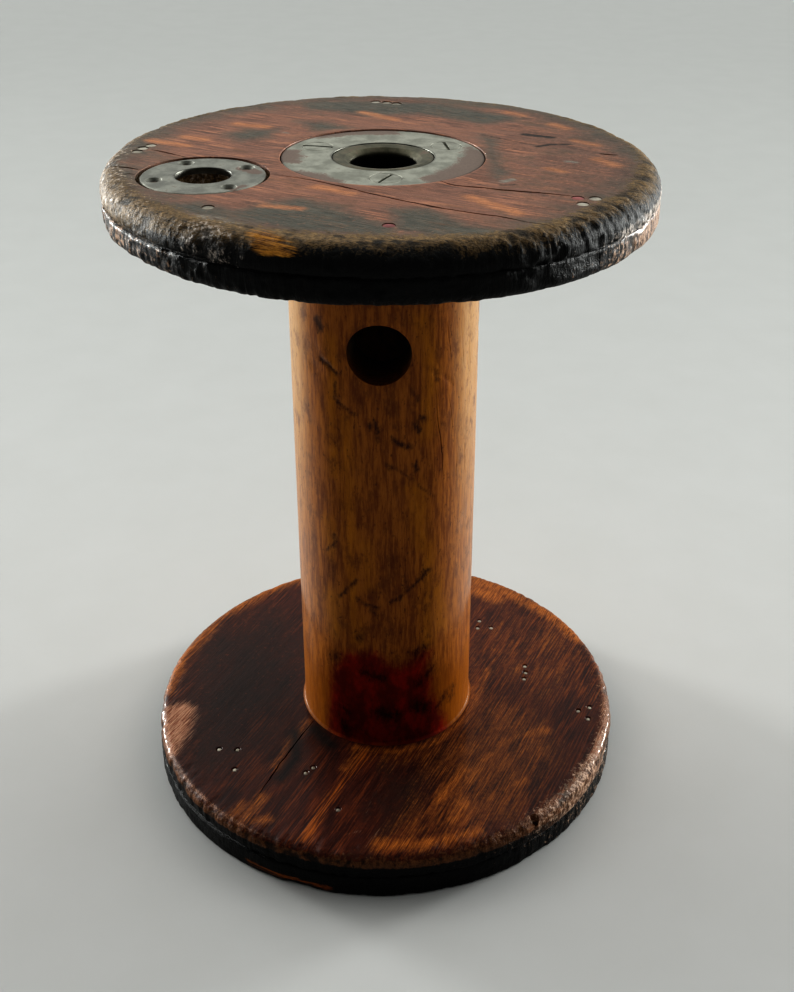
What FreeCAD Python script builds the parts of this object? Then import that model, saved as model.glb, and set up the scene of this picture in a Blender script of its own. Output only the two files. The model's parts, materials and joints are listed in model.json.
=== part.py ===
import FreeCAD, Part
import os
import Sketcher
from FreeCAD import Placement, Rotation, Vector

# A textile mill bobbin: a turned wooden barrel between two round wooden heads.
# Each head is two plies, glued and nailed together, and the barrel's tenons pass through both.
# A steel plate with three screws covers each tenon, round a bush that takes the machine's spindle.
# The upper head also has a driving hole off its centre, faced with a small steel plate.
#
# Lengths are millimetres and angles are degrees. The spindle axis is Z, and Z = 0 is the
# underside of the lower head. What belongs to one end is drawn in that end's own frame:
# there z = 0 is the head's outer face, and the barrel lies below it, towards minus z.

doc = FreeCAD.newDocument("mill_bobbin")
sheet = doc.addObject("Spreadsheet::Sheet", "Sizes")

DRIVING_SIZES = {
    # Heads
    "head_diameter": 203.2,
    "overall_height": 266,
    "outer_ply_thickness": 9.6,
    "inner_ply_thickness": 9.6,
    "upper_edge_radius": 7.4,
    "lower_edge_radius": 4,
    "inner_edge_radius": 3.8,
    "glue_line_edge_radius": 0.7,
    # Barrel
    "barrel_diameter": 73.8,
    "tenon_diameter": 66,
    "tenon_clearance": 0.15,
    "base_flare": 1.6,
    "core_diameter": 30,
    "side_hole_diameter": 24,
    "side_hole_drop": 44.8,
    # Centre plates, one on each head
    "plate_diameter": 74.4,
    "plate_thickness": 2.4,
    "plate_bevel": 0.4,
    "plate_setback": 0.3,
    "plate_clearance": 0.3,
    # Spindle bushes, one in each end of the barrel
    "bush_diameter": 37.2,
    "bush_bore": 24.4,
    "bush_length": 32,
    "bush_mouth_diameter": 30,
    "bush_mouth_depth": 2.6,
    "bush_clearance": 0.1,
    # Three slotted countersunk screws through each centre plate
    "screw_circle_diameter": 55.8,
    "screw_angle": 35,
    "screw_head_diameter": 11.8,
    "screw_shank_diameter": 4.8,
    "screw_length": 26,
    "screw_point_length": 5,
    "screw_slot_width": 1.3,
    "screw_slot_depth": 1.1,
    "screw_clearance": 0.1,
    # Driving hole and its plate, in the upper head
    "drive_inset": 34.7,
    "drive_angle": 205.1,
    "drive_plate_diameter": 43.4,
    "drive_plate_thickness": 2.4,
    "drive_recess_clearance": 1.2,
    "drive_hole_diameter": 19.4,
    "drive_hole_clearance": 0.5,
    # Four countersunk pins that hold the drive plate
    "pin_circle_diameter": 34,
    "pin_head_diameter": 4.4,
    "pin_shank_diameter": 2,
    "pin_length": 8,
    "pin_sink": 0.5,
    "pin_clearance": 0.08,
    # Nails that clench the two plies of each head
    "nail_head_diameter": 3.6,
    "nail_head_thickness": 0.9,
    "nail_shank_diameter": 2.2,
    "nail_sink": 0.3,
    "nail_clearance": 0.08,
    "nail_spacing": 4.2,
    # Where the groups of nails lie in the upper head: distance in from the rim, and direction
    "upper_left_inset": 13,
    "upper_left_angle": 177.5,
    "upper_right_inset": 16.3,
    "upper_right_angle": -35,
    "upper_back_inset": 19,
    "upper_back_angle": 92.5,
    "upper_drive_side_inset": 18.8,
    "upper_drive_side_angle": -129.3,
    "upper_front_inset": 22.7,
    "upper_front_angle": -85.5,
    # And in the lower head, where the tips show
    "lower_left_inset": 23.2,
    "lower_left_angle": -144.4,
    "lower_back_inset": 35.6,
    "lower_back_angle": 47.8,
    "lower_right_inset": 37,
    "lower_right_angle": 12.1,
    "lower_rim_inset": 11.3,
    "lower_rim_angle": -8.6,
    "lower_front_inset": 25.2,
    "lower_front_angle": -101.9,
    "lower_near_barrel_inset": 41,
    "lower_near_barrel_angle": -119.3,
}

for row, (alias, value) in enumerate(DRIVING_SIZES.items(), start=1):
    sheet.set(f"A{row}", alias)
    sheet.set(f"B{row}", str(value))
    sheet.setAlias(f"B{row}", alias)
doc.recompute()


def size(name):
    """The driving size as an expression reads it."""
    return f"Sizes.{name}"


def half(name):
    return f"{size(name)} / 2"


def bind(thing, path, expression):
    """Tie one property of an object, or one constraint of a sketch, to the sheet."""
    thing.setExpression(path, expression)


# Sizes that several pieces share, as expressions on the driving sizes.
HEAD_THICKNESS = f"({size('outer_ply_thickness')} + {size('inner_ply_thickness')})"
TENON_END = f"({size('plate_setback')} + {size('plate_thickness')})"
DRIVE_SEAT = f"({size('plate_setback')} + {size('drive_plate_thickness')})"
BUSH_SEAT = f"({half('bush_diameter')} + {size('bush_clearance')})"
TENON_HOLE = f"({size('tenon_diameter')} + 2 * {size('tenon_clearance')})"
PLATE_RECESS = f"({size('plate_diameter')} + 2 * {size('plate_clearance')})"
DRIVE_RECESS = f"({size('drive_plate_diameter')} + 2 * {size('drive_recess_clearance')})"
DRIVE_WOOD_HOLE = f"({size('drive_hole_diameter')} + 2 * {size('drive_hole_clearance')})"
SCREW_HOLE = f"({size('screw_shank_diameter')} + 2 * {size('screw_clearance')})"
PIN_HOLE = f"({size('pin_shank_diameter')} + 2 * {size('pin_clearance')})"
NAIL_HOLE = f"({size('nail_shank_diameter')} + 2 * {size('nail_clearance')})"
NAIL_HEAD_HOLE = f"({size('nail_head_diameter')} + 2 * {size('nail_clearance')})"
NAIL_HEAD_SEAT = f"({size('nail_sink')} + {size('nail_head_thickness')})"
AXIS = ("0", "0")


def polar(radius, angle, centre=AXIS):
    """The x and y expressions of a spot at a radius and a direction from a centre."""
    return (
        f"({centre[0]}) + ({radius}) * cos({angle})",
        f"({centre[1]}) + ({radius}) * sin({angle})",
    )


def inside_rim(inset):
    """The radius of a spot that lies a distance in from the heads' rim."""
    return f"({half('head_diameter')} - {size(inset)})"


DRIVE_CENTRE = polar(inside_rim("drive_inset"), size("drive_angle"))


def nail_group(place, steps):
    """Spots of one group of nails, each a few nail spacings outwards and sideways of its centre."""
    angle = size(place + "_angle")
    x, y = polar(inside_rim(place + "_inset"), angle)
    spots = []
    for outward, sideways in steps:
        reach = f"{outward} * {size('nail_spacing')}"
        slip = f"{sideways} * {size('nail_spacing')}"
        spots.append((
            f"{x} + {reach} * cos({angle}) - {slip} * sin({angle})",
            f"{y} + {reach} * sin({angle}) + {slip} * cos({angle})",
        ))
    return spots


# Steps of a group, in nail spacings: how far outwards and how far anticlockwise each nail is.
SINGLE = [(0, 0)]
PAIR = [(-0.5, 0.1), (0.5, -0.1)]
ROW = [(0.3, 1.0), (0.1, -0.1), (-0.35, -1.1)]
CORNER = [(-0.8, 0.1), (0.35, 0.85), (0.3, -1.0)]
SCATTER = [(0.5, -1.6), (-1.0, -0.5), (0.5, 1.9)]

UPPER_NAILS = (
    nail_group("upper_left", ROW)
    + nail_group("upper_right", CORNER)
    + nail_group("upper_back", ROW)
    + nail_group("upper_drive_side", SINGLE)
    + nail_group("upper_front", SINGLE)
)
LOWER_NAILS = (
    nail_group("lower_left", SCATTER)
    + nail_group("lower_back", CORNER)
    + nail_group("lower_right", ROW)
    + nail_group("lower_rim", CORNER)
    + nail_group("lower_front", SINGLE)
    + nail_group("lower_near_barrel", PAIR)
)
# The lower head's own frame is the upper one turned over about X, so its y points the other way.
LOWER_NAILS = [(x, f"-({y})") for x, y in LOWER_NAILS]

SCREW_SPOTS = [
    polar(half("screw_circle_diameter"), f"({size('screw_angle')} + {120 * step})") for step in range(3)
]
# The pins were set by eye, so their directions round the driving hole are uneven.
PIN_TURNS = (38, 121, 203, 310)
PIN_SPOTS = [polar(half("pin_circle_diameter"), str(turn), DRIVE_CENTRE) for turn in PIN_TURNS]
# How each screw's slot came to rest.
SLOT_TURNS = (101, 172, 66)


def new_body(label):
    body = doc.addObject("PartDesign::Body", label)
    body.Label = label
    return body


def origin_feature(body, role):
    return next(item for item in body.Origin.OriginFeatures if item.Role == role)


def new_sketch(body, name, plane, lift="0"):
    """A sketch on one of the body's own origin planes, raised along the plane's normal."""
    sketch = body.newObject("Sketcher::SketchObject", name)
    sketch.AttachmentSupport = [(origin_feature(body, plane), "")]
    sketch.MapMode = "FlatFace"
    bind(sketch, "AttachmentOffset.Base.z", lift)
    return sketch


def worked_out(expression):
    """The present value of an expression on the sheet."""
    value = sheet.evalExpression(expression.replace("Sizes.", ""))
    return float(getattr(value, "Value", value))


def pin_point(sketch, geometry, point, spot, tag):
    """Fix a point of the sketch at a spot that the sheet drives."""
    for kind, letter, expression in (("DistanceX", "x", spot[0]), ("DistanceY", "y", spot[1])):
        constraint = Sketcher.Constraint(kind, -1, 1, geometry, point, worked_out(expression))
        number = sketch.addConstraint(constraint)
        sketch.renameConstraint(number, f"{letter}_{tag}")
        bind(sketch, f"Constraints.{letter}_{tag}", expression)


def draw_circles(sketch, spots, diameter):
    for number, spot in enumerate(spots):
        middle = Vector(worked_out(spot[0]), worked_out(spot[1]), 0)
        circle = Part.Circle(middle, Vector(0, 0, 1), worked_out(diameter) / 2)
        index = sketch.addGeometry(circle, False)
        if spot is AXIS:
            sketch.addConstraint(Sketcher.Constraint("Coincident", index, 3, -1, 1))
        else:
            pin_point(sketch, index, 3, spot, f"hole_{number}")
        constraint = sketch.addConstraint(Sketcher.Constraint("Diameter", index, worked_out(diameter)))
        sketch.renameConstraint(constraint, f"bore_{number}")
        bind(sketch, f"Constraints.bore_{number}", diameter)


def draw_outline(sketch, corners):
    """A closed outline of straight lines through the corners, each fixed by the sheet."""
    points = [Vector(worked_out(x), worked_out(y), 0) for x, y in corners]
    for number, point in enumerate(points):
        following = points[(number + 1) % len(points)]
        sketch.addGeometry(Part.LineSegment(point, following), False)
    for number, corner in enumerate(corners):
        after = (number + 1) % len(corners)
        sketch.addConstraint(Sketcher.Constraint("Coincident", number, 2, after, 1))
        pin_point(sketch, number, 1, corner, f"corner_{number}")


def revolve(body, name, corners):
    """Turn an outline of radius and height once round Z."""
    sketch = new_sketch(body, name + "_outline", "XZ_Plane")
    draw_outline(sketch, corners)
    turned = body.newObject("PartDesign::Revolution", name)
    turned.Profile = sketch
    turned.ReferenceAxis = (origin_feature(body, "Z_Axis"), [""])
    turned.Angle = 360
    return turned


def drill(body, name, spots, diameter, top="0", depth=None, upwards=False):
    """Round holes down from a height, or up from it, to a depth or right through."""
    sketch = new_sketch(body, name + "_circles", "XY_Plane", top)
    draw_circles(sketch, spots, diameter)
    doc.recompute()
    before = body.Shape.Volume
    hole = body.newObject("PartDesign::Pocket", name)
    hole.Profile = sketch
    hole.Reversed = upwards
    if depth is None:
        hole.Type = "ThroughAll"
    else:
        hole.Type = "Length"
        bind(hole, "Length", depth)
    doc.recompute()
    if body.Shape.Volume >= before:
        raise RuntimeError(f"{body.Label}: {name} cuts nothing")
    return hole


def round_rim(body, base, name, height, radius):
    """Round the outer edge of a disc at one height."""
    level = worked_out(height)
    rim = worked_out(half("head_diameter"))
    for number, edge in enumerate(base.Shape.Edges, start=1):
        is_circle = isinstance(edge.Curve, Part.Circle)
        if is_circle and abs(edge.Curve.Center.z - level) < 1e-6 and abs(edge.Curve.Radius - rim) < 1e-6:
            fillet = body.newObject("PartDesign::Fillet", name)
            fillet.Base = (base, [f"Edge{number}"])
            bind(fillet, "Radius", radius)
            doc.recompute()
            return fillet
    raise RuntimeError(f"{body.Label}: no rim at {level}")


def seat_on(thing, end):
    """Put a piece drawn in an end's own frame on the upper head, or turned over on the lower one."""
    if end == "upper":
        bind(thing, "Placement.Base.z", size("overall_height"))
    else:
        thing.Placement = Placement(Vector(0, 0, 0), Rotation(Vector(1, 0, 0), 180))


def make_ply(end, layer, top, bottom, top_radius, bottom_radius, nails):
    """One ply of a head: a disc with rounded edges, the tenon's hole and the nails' holes."""
    body = new_body(f"{end}_head_{layer}_ply")
    sketch = new_sketch(body, f"{end}_{layer}_disc", "XY_Plane", bottom)
    draw_circles(sketch, [AXIS], size("head_diameter"))
    disc = body.newObject("PartDesign::Pad", f"{end}_{layer}_pad")
    disc.Profile = sketch
    bind(disc, "Length", size(f"{layer}_ply_thickness"))
    doc.recompute()
    upper_rim = round_rim(body, disc, f"{end}_{layer}_top_rim", top, top_radius)
    round_rim(body, upper_rim, f"{end}_{layer}_bottom_rim", bottom, bottom_radius)
    drill(body, f"{end}_{layer}_tenon_hole", [AXIS], TENON_HOLE, top)
    drill(body, f"{end}_{layer}_nail_holes", nails, NAIL_HOLE, top)
    seat_on(body, end)
    return body


def make_head(end, edge_radius, nails):
    """Both plies of one head, with the centre plate's recess in the outer one."""
    glue_line = f"-{size('outer_ply_thickness')}"
    rounding = size("glue_line_edge_radius")
    outer = make_ply(end, "outer", "0", glue_line, size(edge_radius), rounding, nails)
    drill(outer, f"{end}_plate_recess", [AXIS], PLATE_RECESS, "0", TENON_END)
    drill(outer, f"{end}_nail_head_seats", nails, NAIL_HEAD_HOLE, "0", NAIL_HEAD_SEAT)
    inner_face = f"-{HEAD_THICKNESS}"
    inner = make_ply(end, "inner", glue_line, inner_face, rounding, size("inner_edge_radius"), nails)
    return outer, inner


def add_driving_hole(outer, inner):
    """The hole right through the head, the recess for its plate, and the pins' pilot holes."""
    glue_line = f"-{size('outer_ply_thickness')}"
    drill(outer, "drive_recess", [DRIVE_CENTRE], DRIVE_RECESS, "0", DRIVE_SEAT)
    drill(outer, "drive_hole_outer", [DRIVE_CENTRE], DRIVE_WOOD_HOLE, "0")
    drill(inner, "drive_hole_inner", [DRIVE_CENTRE], DRIVE_WOOD_HOLE, glue_line)
    pilot_end = f"({size('plate_setback')} + {size('pin_length')} + {size('pin_clearance')})"
    drill(outer, "pin_pilot_holes", PIN_SPOTS, PIN_HOLE, "0", pilot_end)


def make_barrel():
    """The turned barrel: shoulders, a tenon at each end, a bored core and a hole in its side."""
    body = new_body("barrel")
    top = size("overall_height")
    skin = half("barrel_diameter")
    flare = f"({skin} + {size('base_flare')})"
    tenon = half("tenon_diameter")
    core = half("core_diameter")
    low_shoulder = HEAD_THICKNESS
    high_shoulder = f"({top} - {HEAD_THICKNESS})"
    revolve(body, "turned_barrel", [
        (BUSH_SEAT, TENON_END),
        (tenon, TENON_END),
        (tenon, low_shoulder),
        (flare, low_shoulder),
        (skin, f"{low_shoulder} + {size('base_flare')}"),
        (skin, f"{high_shoulder} - {size('base_flare')}"),
        (flare, high_shoulder),
        (tenon, high_shoulder),
        (tenon, f"{top} - {TENON_END}"),
        (BUSH_SEAT, f"{top} - {TENON_END}"),
        (BUSH_SEAT, f"{top} - {size('bush_length')}"),
        (core, f"{top} - {size('bush_length')}"),
        (core, size("bush_length")),
        (BUSH_SEAT, size("bush_length")),
    ])
    sketch = new_sketch(body, "side_hole_circle", "XZ_Plane")
    draw_circles(sketch, [("0", f"{high_shoulder} - {size('side_hole_drop')}")], size("side_hole_diameter"))
    doc.recompute()
    before = body.Shape.Volume
    side_hole = body.newObject("PartDesign::Pocket", "side_hole")
    side_hole.Profile = sketch
    side_hole.Reversed = True
    bind(side_hole, "Length", size("barrel_diameter"))
    doc.recompute()
    if body.Shape.Volume >= before:
        raise RuntimeError("barrel: the side hole cuts nothing")
    pilot = f"({size('plate_setback')} + {size('screw_length')} + {size('screw_clearance')})"
    drill(body, "upper_screw_holes", SCREW_SPOTS, SCREW_HOLE, top, pilot)
    # The lower end is the upper one turned over about X, so its screws lie at mirrored y.
    lower_spots = [(x, f"-({y})") for x, y in SCREW_SPOTS]
    drill(body, "lower_screw_holes", lower_spots, SCREW_HOLE, "0", pilot, upwards=True)
    return body


def countersink(body, name, spot, thickness, hole, head):
    """A conical hole through a plate, as wide as the screw's head at the outer face."""
    cone = body.newObject("PartDesign::SubtractiveCone", name)
    cone.AttachmentSupport = [(origin_feature(body, "XY_Plane"), "")]
    cone.MapMode = "FlatFace"
    bind(cone, "AttachmentOffset.Base.x", spot[0])
    bind(cone, "AttachmentOffset.Base.y", spot[1])
    bind(cone, "AttachmentOffset.Base.z", f"-({size('plate_setback')} + {thickness})")
    bind(cone, "Radius1", f"{hole} / 2")
    bind(cone, "Radius2", f"{head} / 2")
    bind(cone, "Height", thickness)
    return cone


def make_centre_plate(end):
    """The steel disc over the tenon, with a bevelled edge and three countersunk holes."""
    body = new_body(f"{end}_centre_plate")
    rim = half("plate_diameter")
    face = f"-{size('plate_setback')}"
    revolve(body, f"{end}_plate_disc", [
        (BUSH_SEAT, f"-{TENON_END}"),
        (rim, f"-{TENON_END}"),
        (rim, f"{face} - {size('plate_bevel')}"),
        (f"{rim} - {size('plate_bevel')}", face),
        (BUSH_SEAT, face),
    ])
    head = f"({size('screw_head_diameter')} + 2 * {size('screw_clearance')})"
    for number, spot in enumerate(SCREW_SPOTS, start=1):
        countersink(body, f"{end}_countersink_{number}", spot, size("plate_thickness"), SCREW_HOLE, head)
    seat_on(body, end)
    return body


def make_bush(end):
    """The steel bush that runs on the spindle, dished at its mouth."""
    body = new_body(f"{end}_bush")
    face = f"-{size('plate_setback')}"
    bore = half("bush_bore")
    skin = half("bush_diameter")
    revolve(body, f"{end}_bush_tube", [
        (bore, f"-{size('bush_length')}"),
        (skin, f"-{size('bush_length')}"),
        (skin, face),
        (half("bush_mouth_diameter"), face),
        (bore, f"{face} - {size('bush_mouth_depth')}"),
    ])
    seat_on(body, end)
    return body


def primitive(kind, name, spot, height, **sizes):
    """A cylinder, cone or box that stands on a spot at a height, with its sizes from the sheet."""
    shape = doc.addObject(f"Part::{kind}", name)
    bind(shape, "Placement.Base.x", spot[0])
    bind(shape, "Placement.Base.y", spot[1])
    bind(shape, "Placement.Base.z", height)
    for path, expression in sizes.items():
        bind(shape, path, expression)
    return shape


def fuse(name, shapes):
    joined = doc.addObject("Part::MultiFuse", name)
    joined.Shapes = shapes
    return joined


def make_screw(name, spot, slot_turn):
    """A slotted screw: a conical head as deep as the plate, a shank, and a point."""
    face = f"-{size('plate_setback')}"
    shank = half("screw_shank_diameter")
    head = primitive(
        "Cone", name + "_head", spot, f"{face} - {size('plate_thickness')}",
        Radius1=shank, Radius2=half("screw_head_diameter"), Height=size("plate_thickness"),
    )
    point_top = f"{face} - {size('screw_length')} + {size('screw_point_length')}"
    body = primitive(
        "Cylinder", name + "_shank", spot, point_top, Radius=shank,
        Height=f"{size('screw_length')} - {size('screw_point_length')} - {size('plate_thickness')}",
    )
    point = primitive(
        "Cone", name + "_point", spot, f"{face} - {size('screw_length')}",
        Radius1=f"{size('screw_shank_diameter')} / 8", Radius2=shank, Height=size("screw_point_length"),
    )
    # The slot's cutter starts at a corner, so it is moved back by half its own length and width.
    across = f"({size('screw_head_diameter')} / 2)"
    aside = f"({size('screw_slot_width')} / 2)"
    corner = (
        f"{spot[0]} - {across} * cos({slot_turn}) + {aside} * sin({slot_turn})",
        f"{spot[1]} - {across} * sin({slot_turn}) - {aside} * cos({slot_turn})",
    )
    cutter = primitive(
        "Box", name + "_slot", corner, f"{face} - {size('screw_slot_depth')}",
        Length=size("screw_head_diameter"), Width=size("screw_slot_width"), Height=size("plate_thickness"),
    )
    bind(cutter, "Placement.Rotation.Angle", str(slot_turn))
    screw = doc.addObject("Part::Cut", name)
    screw.Base = fuse(name + "_blank", [head, body, point])
    screw.Tool = cutter
    return screw


def make_plate_screws(end):
    screws = []
    for number, (spot, slot_turn) in enumerate(zip(SCREW_SPOTS, SLOT_TURNS), start=1):
        screws.append(make_screw(f"{end}_screw_{number}", spot, slot_turn))
    group = doc.addObject("Part::Compound", f"{end}_plate_screws")
    group.Label = f"{end}_plate_screws"
    group.Links = screws
    seat_on(group, end)
    return group


def make_drive_plate():
    """The small steel disc round the driving hole, with four countersunk holes."""
    body = new_body("drive_plate")
    face = f"-{size('plate_setback')}"
    rim = half("drive_plate_diameter")
    hole = half("drive_hole_diameter")
    revolve(body, "drive_plate_disc", [
        (hole, f"-{DRIVE_SEAT}"),
        (rim, f"-{DRIVE_SEAT}"),
        (rim, f"{face} - {size('plate_bevel')}"),
        (f"{rim} - {size('plate_bevel')}", face),
        (f"{hole} + {size('plate_bevel')}", face),
        (hole, f"{face} - {size('plate_bevel')}"),
    ])
    head = f"({size('pin_head_diameter')} + 2 * {size('pin_clearance')})"
    for number, turn in enumerate(PIN_TURNS, start=1):
        spot = polar(half("pin_circle_diameter"), str(turn))
        countersink(body, f"pin_countersink_{number}", spot, size("drive_plate_thickness"), PIN_HOLE, head)
    bind(body, "Placement.Base.x", DRIVE_CENTRE[0])
    bind(body, "Placement.Base.y", DRIVE_CENTRE[1])
    bind(body, "Placement.Base.z", size("overall_height"))
    return body


def make_drive_pins():
    """Four small pins, sunk a little below the drive plate's face."""
    top = f"-({size('plate_setback')} + {size('pin_sink')})"
    bottom = f"-({size('plate_setback')} + {size('pin_length')})"
    seat = f"-{DRIVE_SEAT}"
    # Below the sink the countersink has narrowed, and the head follows it.
    narrowed = (
        f"({half('pin_head_diameter')} - {size('pin_sink')} / {size('drive_plate_thickness')}"
        f" * ({half('pin_head_diameter')} - {half('pin_shank_diameter')}))"
    )
    pins = []
    for number, spot in enumerate(PIN_SPOTS, start=1):
        pins.append(primitive(
            "Cone", f"pin_head_{number}", spot, seat, Radius1=half("pin_shank_diameter"),
            Radius2=narrowed, Height=f"{size('drive_plate_thickness')} - {size('pin_sink')}",
        ))
        pins.append(primitive(
            "Cylinder", f"pin_shank_{number}", spot, bottom,
            Radius=half("pin_shank_diameter"), Height=f"{seat} - {bottom}",
        ))
    group = fuse("drive_plate_pins", pins)
    group.Label = "drive_plate_pins"
    seat_on(group, "upper")
    return group


def make_nails(end, spots):
    """Nails driven from the outer face, with their tips just under the inner face."""
    seat = f"-{NAIL_HEAD_SEAT}"
    tip = f"-({HEAD_THICKNESS} - {size('nail_sink')})"
    pieces = []
    for number, spot in enumerate(spots, start=1):
        pieces.append(primitive(
            "Cylinder", f"{end}_nail_head_{number}", spot, seat,
            Radius=half("nail_head_diameter"), Height=size("nail_head_thickness"),
        ))
        pieces.append(primitive(
            "Cylinder", f"{end}_nail_shank_{number}", spot, tip,
            Radius=half("nail_shank_diameter"), Height=f"{seat} - {tip}",
        ))
    group = fuse(f"{end}_head_nails", pieces)
    group.Label = f"{end}_head_nails"
    seat_on(group, end)
    return group


upper_outer_ply, upper_inner_ply = make_head("upper", "upper_edge_radius", UPPER_NAILS)
add_driving_hole(upper_outer_ply, upper_inner_ply)
lower_outer_ply, lower_inner_ply = make_head("lower", "lower_edge_radius", LOWER_NAILS)
pieces = [
    make_barrel(),
    upper_outer_ply,
    upper_inner_ply,
    lower_inner_ply,
    lower_outer_ply,
    make_centre_plate("upper"),
    make_centre_plate("lower"),
    make_bush("upper"),
    make_bush("lower"),
    make_plate_screws("upper"),
    make_plate_screws("lower"),
    make_drive_plate(),
    make_drive_pins(),
    make_nails("upper", UPPER_NAILS),
    make_nails("lower", LOWER_NAILS),
]
doc.recompute()

for thing in doc.Objects:
    if "Invalid" in thing.State or "Error" in thing.State:
        raise RuntimeError(f"{thing.Label} failed: {thing.State}")
for piece in pieces:
    if piece.Shape.isNull() or not piece.Shape.isValid():
        raise RuntimeError(f"{piece.Label} has no valid shape")

os.makedirs("parts", exist_ok=True)
for piece in pieces:
    piece.Shape.exportStep(f"parts/{piece.Label}.step")
    box = piece.Shape.BoundBox
    print(f"{piece.Label}: {len(piece.Shape.Solids)} solids, {piece.Shape.Volume / 1000:.2f} cm3,"
          f" z {box.ZMin:.2f} to {box.ZMax:.2f}, x {box.XMin:.2f} to {box.XMax:.2f}")
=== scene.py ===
# %% [markdown]
# A textile mill bobbin. Yarn was wound on its turned barrel, between two thick wooden heads.
# Each head is two boards, glued and nailed with their grain crossed. A steel plate and a bush take
# the machine's spindle, and the small plate off the centre takes the driving peg.
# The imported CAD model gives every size. This script replaces each visible surface by a finer one,
# worked out with numpy, and gives it the wear that years in a mill leave.

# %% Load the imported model
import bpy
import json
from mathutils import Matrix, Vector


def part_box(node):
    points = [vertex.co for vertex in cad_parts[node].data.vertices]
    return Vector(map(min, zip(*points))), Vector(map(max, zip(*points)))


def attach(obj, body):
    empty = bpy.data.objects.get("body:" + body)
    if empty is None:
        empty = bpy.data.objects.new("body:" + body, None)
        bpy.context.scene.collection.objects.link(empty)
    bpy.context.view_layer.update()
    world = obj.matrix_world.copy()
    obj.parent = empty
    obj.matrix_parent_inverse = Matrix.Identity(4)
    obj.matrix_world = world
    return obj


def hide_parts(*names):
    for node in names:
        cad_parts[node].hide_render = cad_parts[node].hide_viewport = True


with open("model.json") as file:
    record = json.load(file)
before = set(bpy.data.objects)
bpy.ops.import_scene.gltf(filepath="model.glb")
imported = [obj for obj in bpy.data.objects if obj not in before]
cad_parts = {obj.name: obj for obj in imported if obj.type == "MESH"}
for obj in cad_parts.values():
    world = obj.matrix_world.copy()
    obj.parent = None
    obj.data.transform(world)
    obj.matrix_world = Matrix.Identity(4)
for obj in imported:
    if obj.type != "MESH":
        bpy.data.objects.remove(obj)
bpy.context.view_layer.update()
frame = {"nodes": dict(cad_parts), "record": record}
print("nodes:", sorted(frame["nodes"]))

# %% Tools and units
import itertools
import json
import math

import bmesh
import bpy
import numpy as np
from mathutils import Matrix, Vector

MM = 0.001

# %% [markdown]
# Sizes come from the boxes of the CAD nodes, so a piece made here is as large as the one it replaces.
# A node that holds several solids, such as the nails, is taken apart into shells to find each place.

# %% Sizes from the frame


def corners(node):
    """The lowest and highest corner of a CAD node, in millimetres."""
    low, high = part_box(node)
    return np.array(low) / MM, np.array(high) / MM


def shells(node):
    """The boxes of a node's separate solids, in millimetres.

    Vertices at one place count as one. Each takes the lowest label among its triangles, again and
    again, until no label changes, and what shares a label is one solid."""
    mesh = frame["nodes"][node].data
    places = np.empty(len(mesh.vertices) * 3)
    mesh.vertices.foreach_get("co", places)
    spots, merged = np.unique(places.reshape(-1, 3).round(6), axis=0, return_inverse=True)
    loops = np.empty(len(mesh.loops), int)
    mesh.loops.foreach_get("vertex_index", loops)
    triangles = merged.reshape(-1)[loops].reshape(-1, 3)
    label = np.arange(len(spots))
    while True:
        lowered = label.copy()
        np.minimum.at(lowered, triangles.ravel(), np.repeat(label[triangles].min(axis=1), 3))
        if (lowered == label).all():
            break
        label = lowered
    solids = [spots[label == number] / MM for number in np.unique(label)]
    return [(solid.min(axis=0), solid.max(axis=0)) for solid in solids]


HEAD_RADIUS = corners("upper_head_outer_ply")[1][0]
UPPER_FACE = corners("upper_head_outer_ply")[1][2]
UPPER_GLUE = corners("upper_head_outer_ply")[0][2]
UPPER_INNER_FACE = corners("upper_head_inner_ply")[0][2]
LOWER_INNER_FACE = corners("lower_head_inner_ply")[1][2]
LOWER_GLUE = corners("lower_head_inner_ply")[0][2]
PLATE_LOW, PLATE_HIGH = corners("upper_centre_plate")
PLATE_RADIUS = PLATE_HIGH[0]
BUSH_LOW, BUSH_HIGH = corners("upper_bush")
BUSH_RADIUS = BUSH_HIGH[0]
DRIVE_LOW, DRIVE_HIGH = corners("drive_plate")
DRIVE_CENTRE = (DRIVE_LOW + DRIVE_HIGH)[:2] / 2
DRIVE_RADIUS = (DRIVE_HIGH - DRIVE_LOW)[0] / 2
BARREL_LOW, BARREL_HIGH = corners("barrel")
MOUNTS = {mount["name"]: mount for mount in frame["record"]["mounts"]}
BUSH_BORE = MOUNTS["upper_spindle_bore"]["dims"]["r_mm"]
DRIVE_BORE = MOUNTS["driving_hole"]["dims"]["r_mm"]
SIDE_BORE = MOUNTS["side_hole"]["dims"]["r_mm"]
SIDE_HOLE_HEIGHT = MOUNTS["side_hole"]["pos_m"][2] / MM
# Clearances and small sizes that the boxes don't show.
TENON_HOLE = 33.15
PLATE_RECESS = PLATE_RADIUS + 0.3
DRIVE_RECESS = DRIVE_RADIUS + 1.2
BARREL_RADIUS = 36.9
print(f"heads {2 * HEAD_RADIUS:.1f} mm across, top face at {UPPER_FACE:.1f} mm")

# %% [markdown]
# Wood is never even, so most masks and dents start from noise. Value noise puts a repeatable number
# on each corner of a lattice and blends between the corners. Several octaves of it, each finer and
# weaker, look natural. Stretched along one direction it becomes wood fibre.

# %% Noise on whole arrays


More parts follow.
